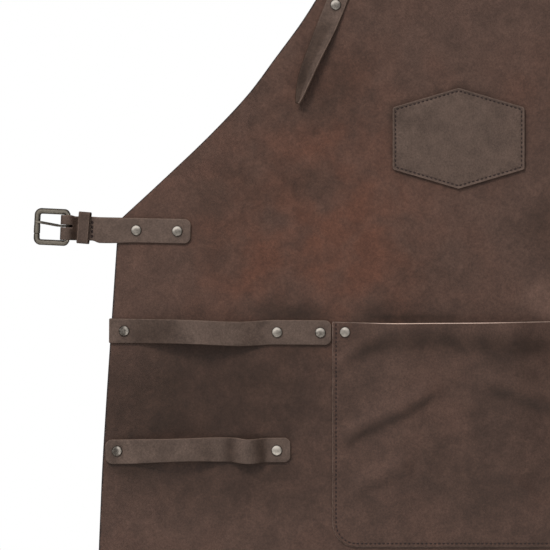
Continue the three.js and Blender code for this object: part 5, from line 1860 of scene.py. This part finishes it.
class APRON_OT_patch(bpy.types.Operator):
    """Make the hexagonal patch"""

    bl_idname = "apron.patch"
    bl_label = "Patch"

    def execute(self, context):
        make_patch(context.scene)
        return {"FINISHED"}


class APRON_OT_pocket(bpy.types.Operator):
    """Make the sewn pocket"""

    bl_idname = "apron.pocket"
    bl_label = "Pocket"

    def execute(self, context):
        make_pocket(context.scene)
        return {"FINISHED"}


class APRON_OT_loop_straps(bpy.types.Operator):
    """Make the tool strap and the towel strap"""

    bl_idname = "apron.loop_straps"
    bl_label = "Loop straps"

    def execute(self, context):
        for strap in (TOOL_STRAP, TOWEL_STRAP):
            make_loop_strap(context.scene, strap)
        return {"FINISHED"}


class APRON_OT_waist_straps(bpy.types.Operator):
    """Make the buckle strap with its keeper and the long waist strap"""

    bl_idname = "apron.waist_straps"
    bl_label = "Waist straps"

    def execute(self, context):
        make_buckle_strap(context.scene)
        make_keeper(context.scene)
        make_waist_strap(context.scene)
        return {"FINISHED"}


class APRON_OT_neck_strap(bpy.types.Operator):
    """Make the neck strap with its loose tail"""

    bl_idname = "apron.neck_strap"
    bl_label = "Neck strap"

    def execute(self, context):
        make_neck_strap(context.scene)
        return {"FINISHED"}


class APRON_OT_buckle(bpy.types.Operator):
    """Make the buckle's frame and prong"""

    bl_idname = "apron.buckle"
    bl_label = "Buckle"

    def execute(self, context):
        make_buckle(context.scene)
        return {"FINISHED"}


class APRON_OT_rivets(bpy.types.Operator):
    """Make the rivets"""

    bl_idname = "apron.rivets"
    bl_label = "Rivets"

    def execute(self, context):
        make_rivets(context.scene)
        return {"FINISHED"}


class APRON_OT_stitches(bpy.types.Operator):
    """Make the stitches of the pocket, the patch and the buckle strap"""

    bl_idname = "apron.stitches"
    bl_label = "Stitches"

    def execute(self, context):
        make_stitches(context.scene)
        return {"FINISHED"}


OPERATORS = (
    APRON_OT_stage,
    APRON_OT_panel,
    APRON_OT_patch,
    APRON_OT_pocket,
    APRON_OT_loop_straps,
    APRON_OT_waist_straps,
    APRON_OT_neck_strap,
    APRON_OT_buckle,
    APRON_OT_rivets,
    APRON_OT_stitches,
)
SETTINGS = {
    "apron_leather": ApronLeather,
    "apron_thread": ApronThread,
    "apron_metal": ApronMetal,
    "apron_stage": ApronStage,
}


class APRON_PT_sidebar(bpy.types.Panel):
    """Settings and steps of the apron"""

    bl_label = "Leather apron"
    bl_idname = "APRON_PT_sidebar"
    bl_space_type = "VIEW_3D"
    bl_region_type = "UI"
    bl_category = "Apron"

    def draw(self, context):
        for name, group in SETTINGS.items():
            box = self.layout.box()
            for key in group.__annotations__:
                box.prop(getattr(context.scene, name), key)
        for operator in OPERATORS:
            self.layout.operator(operator.bl_idname)


def register():
    """Registers the settings, the operators and the panel."""
    for name, group in SETTINGS.items():
        bpy.utils.register_class(group)
        setattr(bpy.types.Scene, name, bpy.props.PointerProperty(type=group))
    for made in (*OPERATORS, APRON_PT_sidebar):
        bpy.utils.register_class(made)


def unregister():
    """Removes what register added."""
    for made in (APRON_PT_sidebar, *reversed(OPERATORS)):
        bpy.utils.unregister_class(made)
    for name, group in SETTINGS.items():
        delattr(bpy.types.Scene, name)
        bpy.utils.unregister_class(group)


def main():
    """Makes the stage and every piece."""
    register()
    bpy.ops.apron.stage()
    bpy.ops.apron.panel()
    bpy.ops.apron.patch()
    bpy.ops.apron.pocket()
    bpy.ops.apron.loop_straps()
    bpy.ops.apron.waist_straps()
    bpy.ops.apron.neck_strap()
    bpy.ops.apron.buckle()
    bpy.ops.apron.rivets()
    bpy.ops.apron.stitches()


if __name__ == "__main__":
    main()
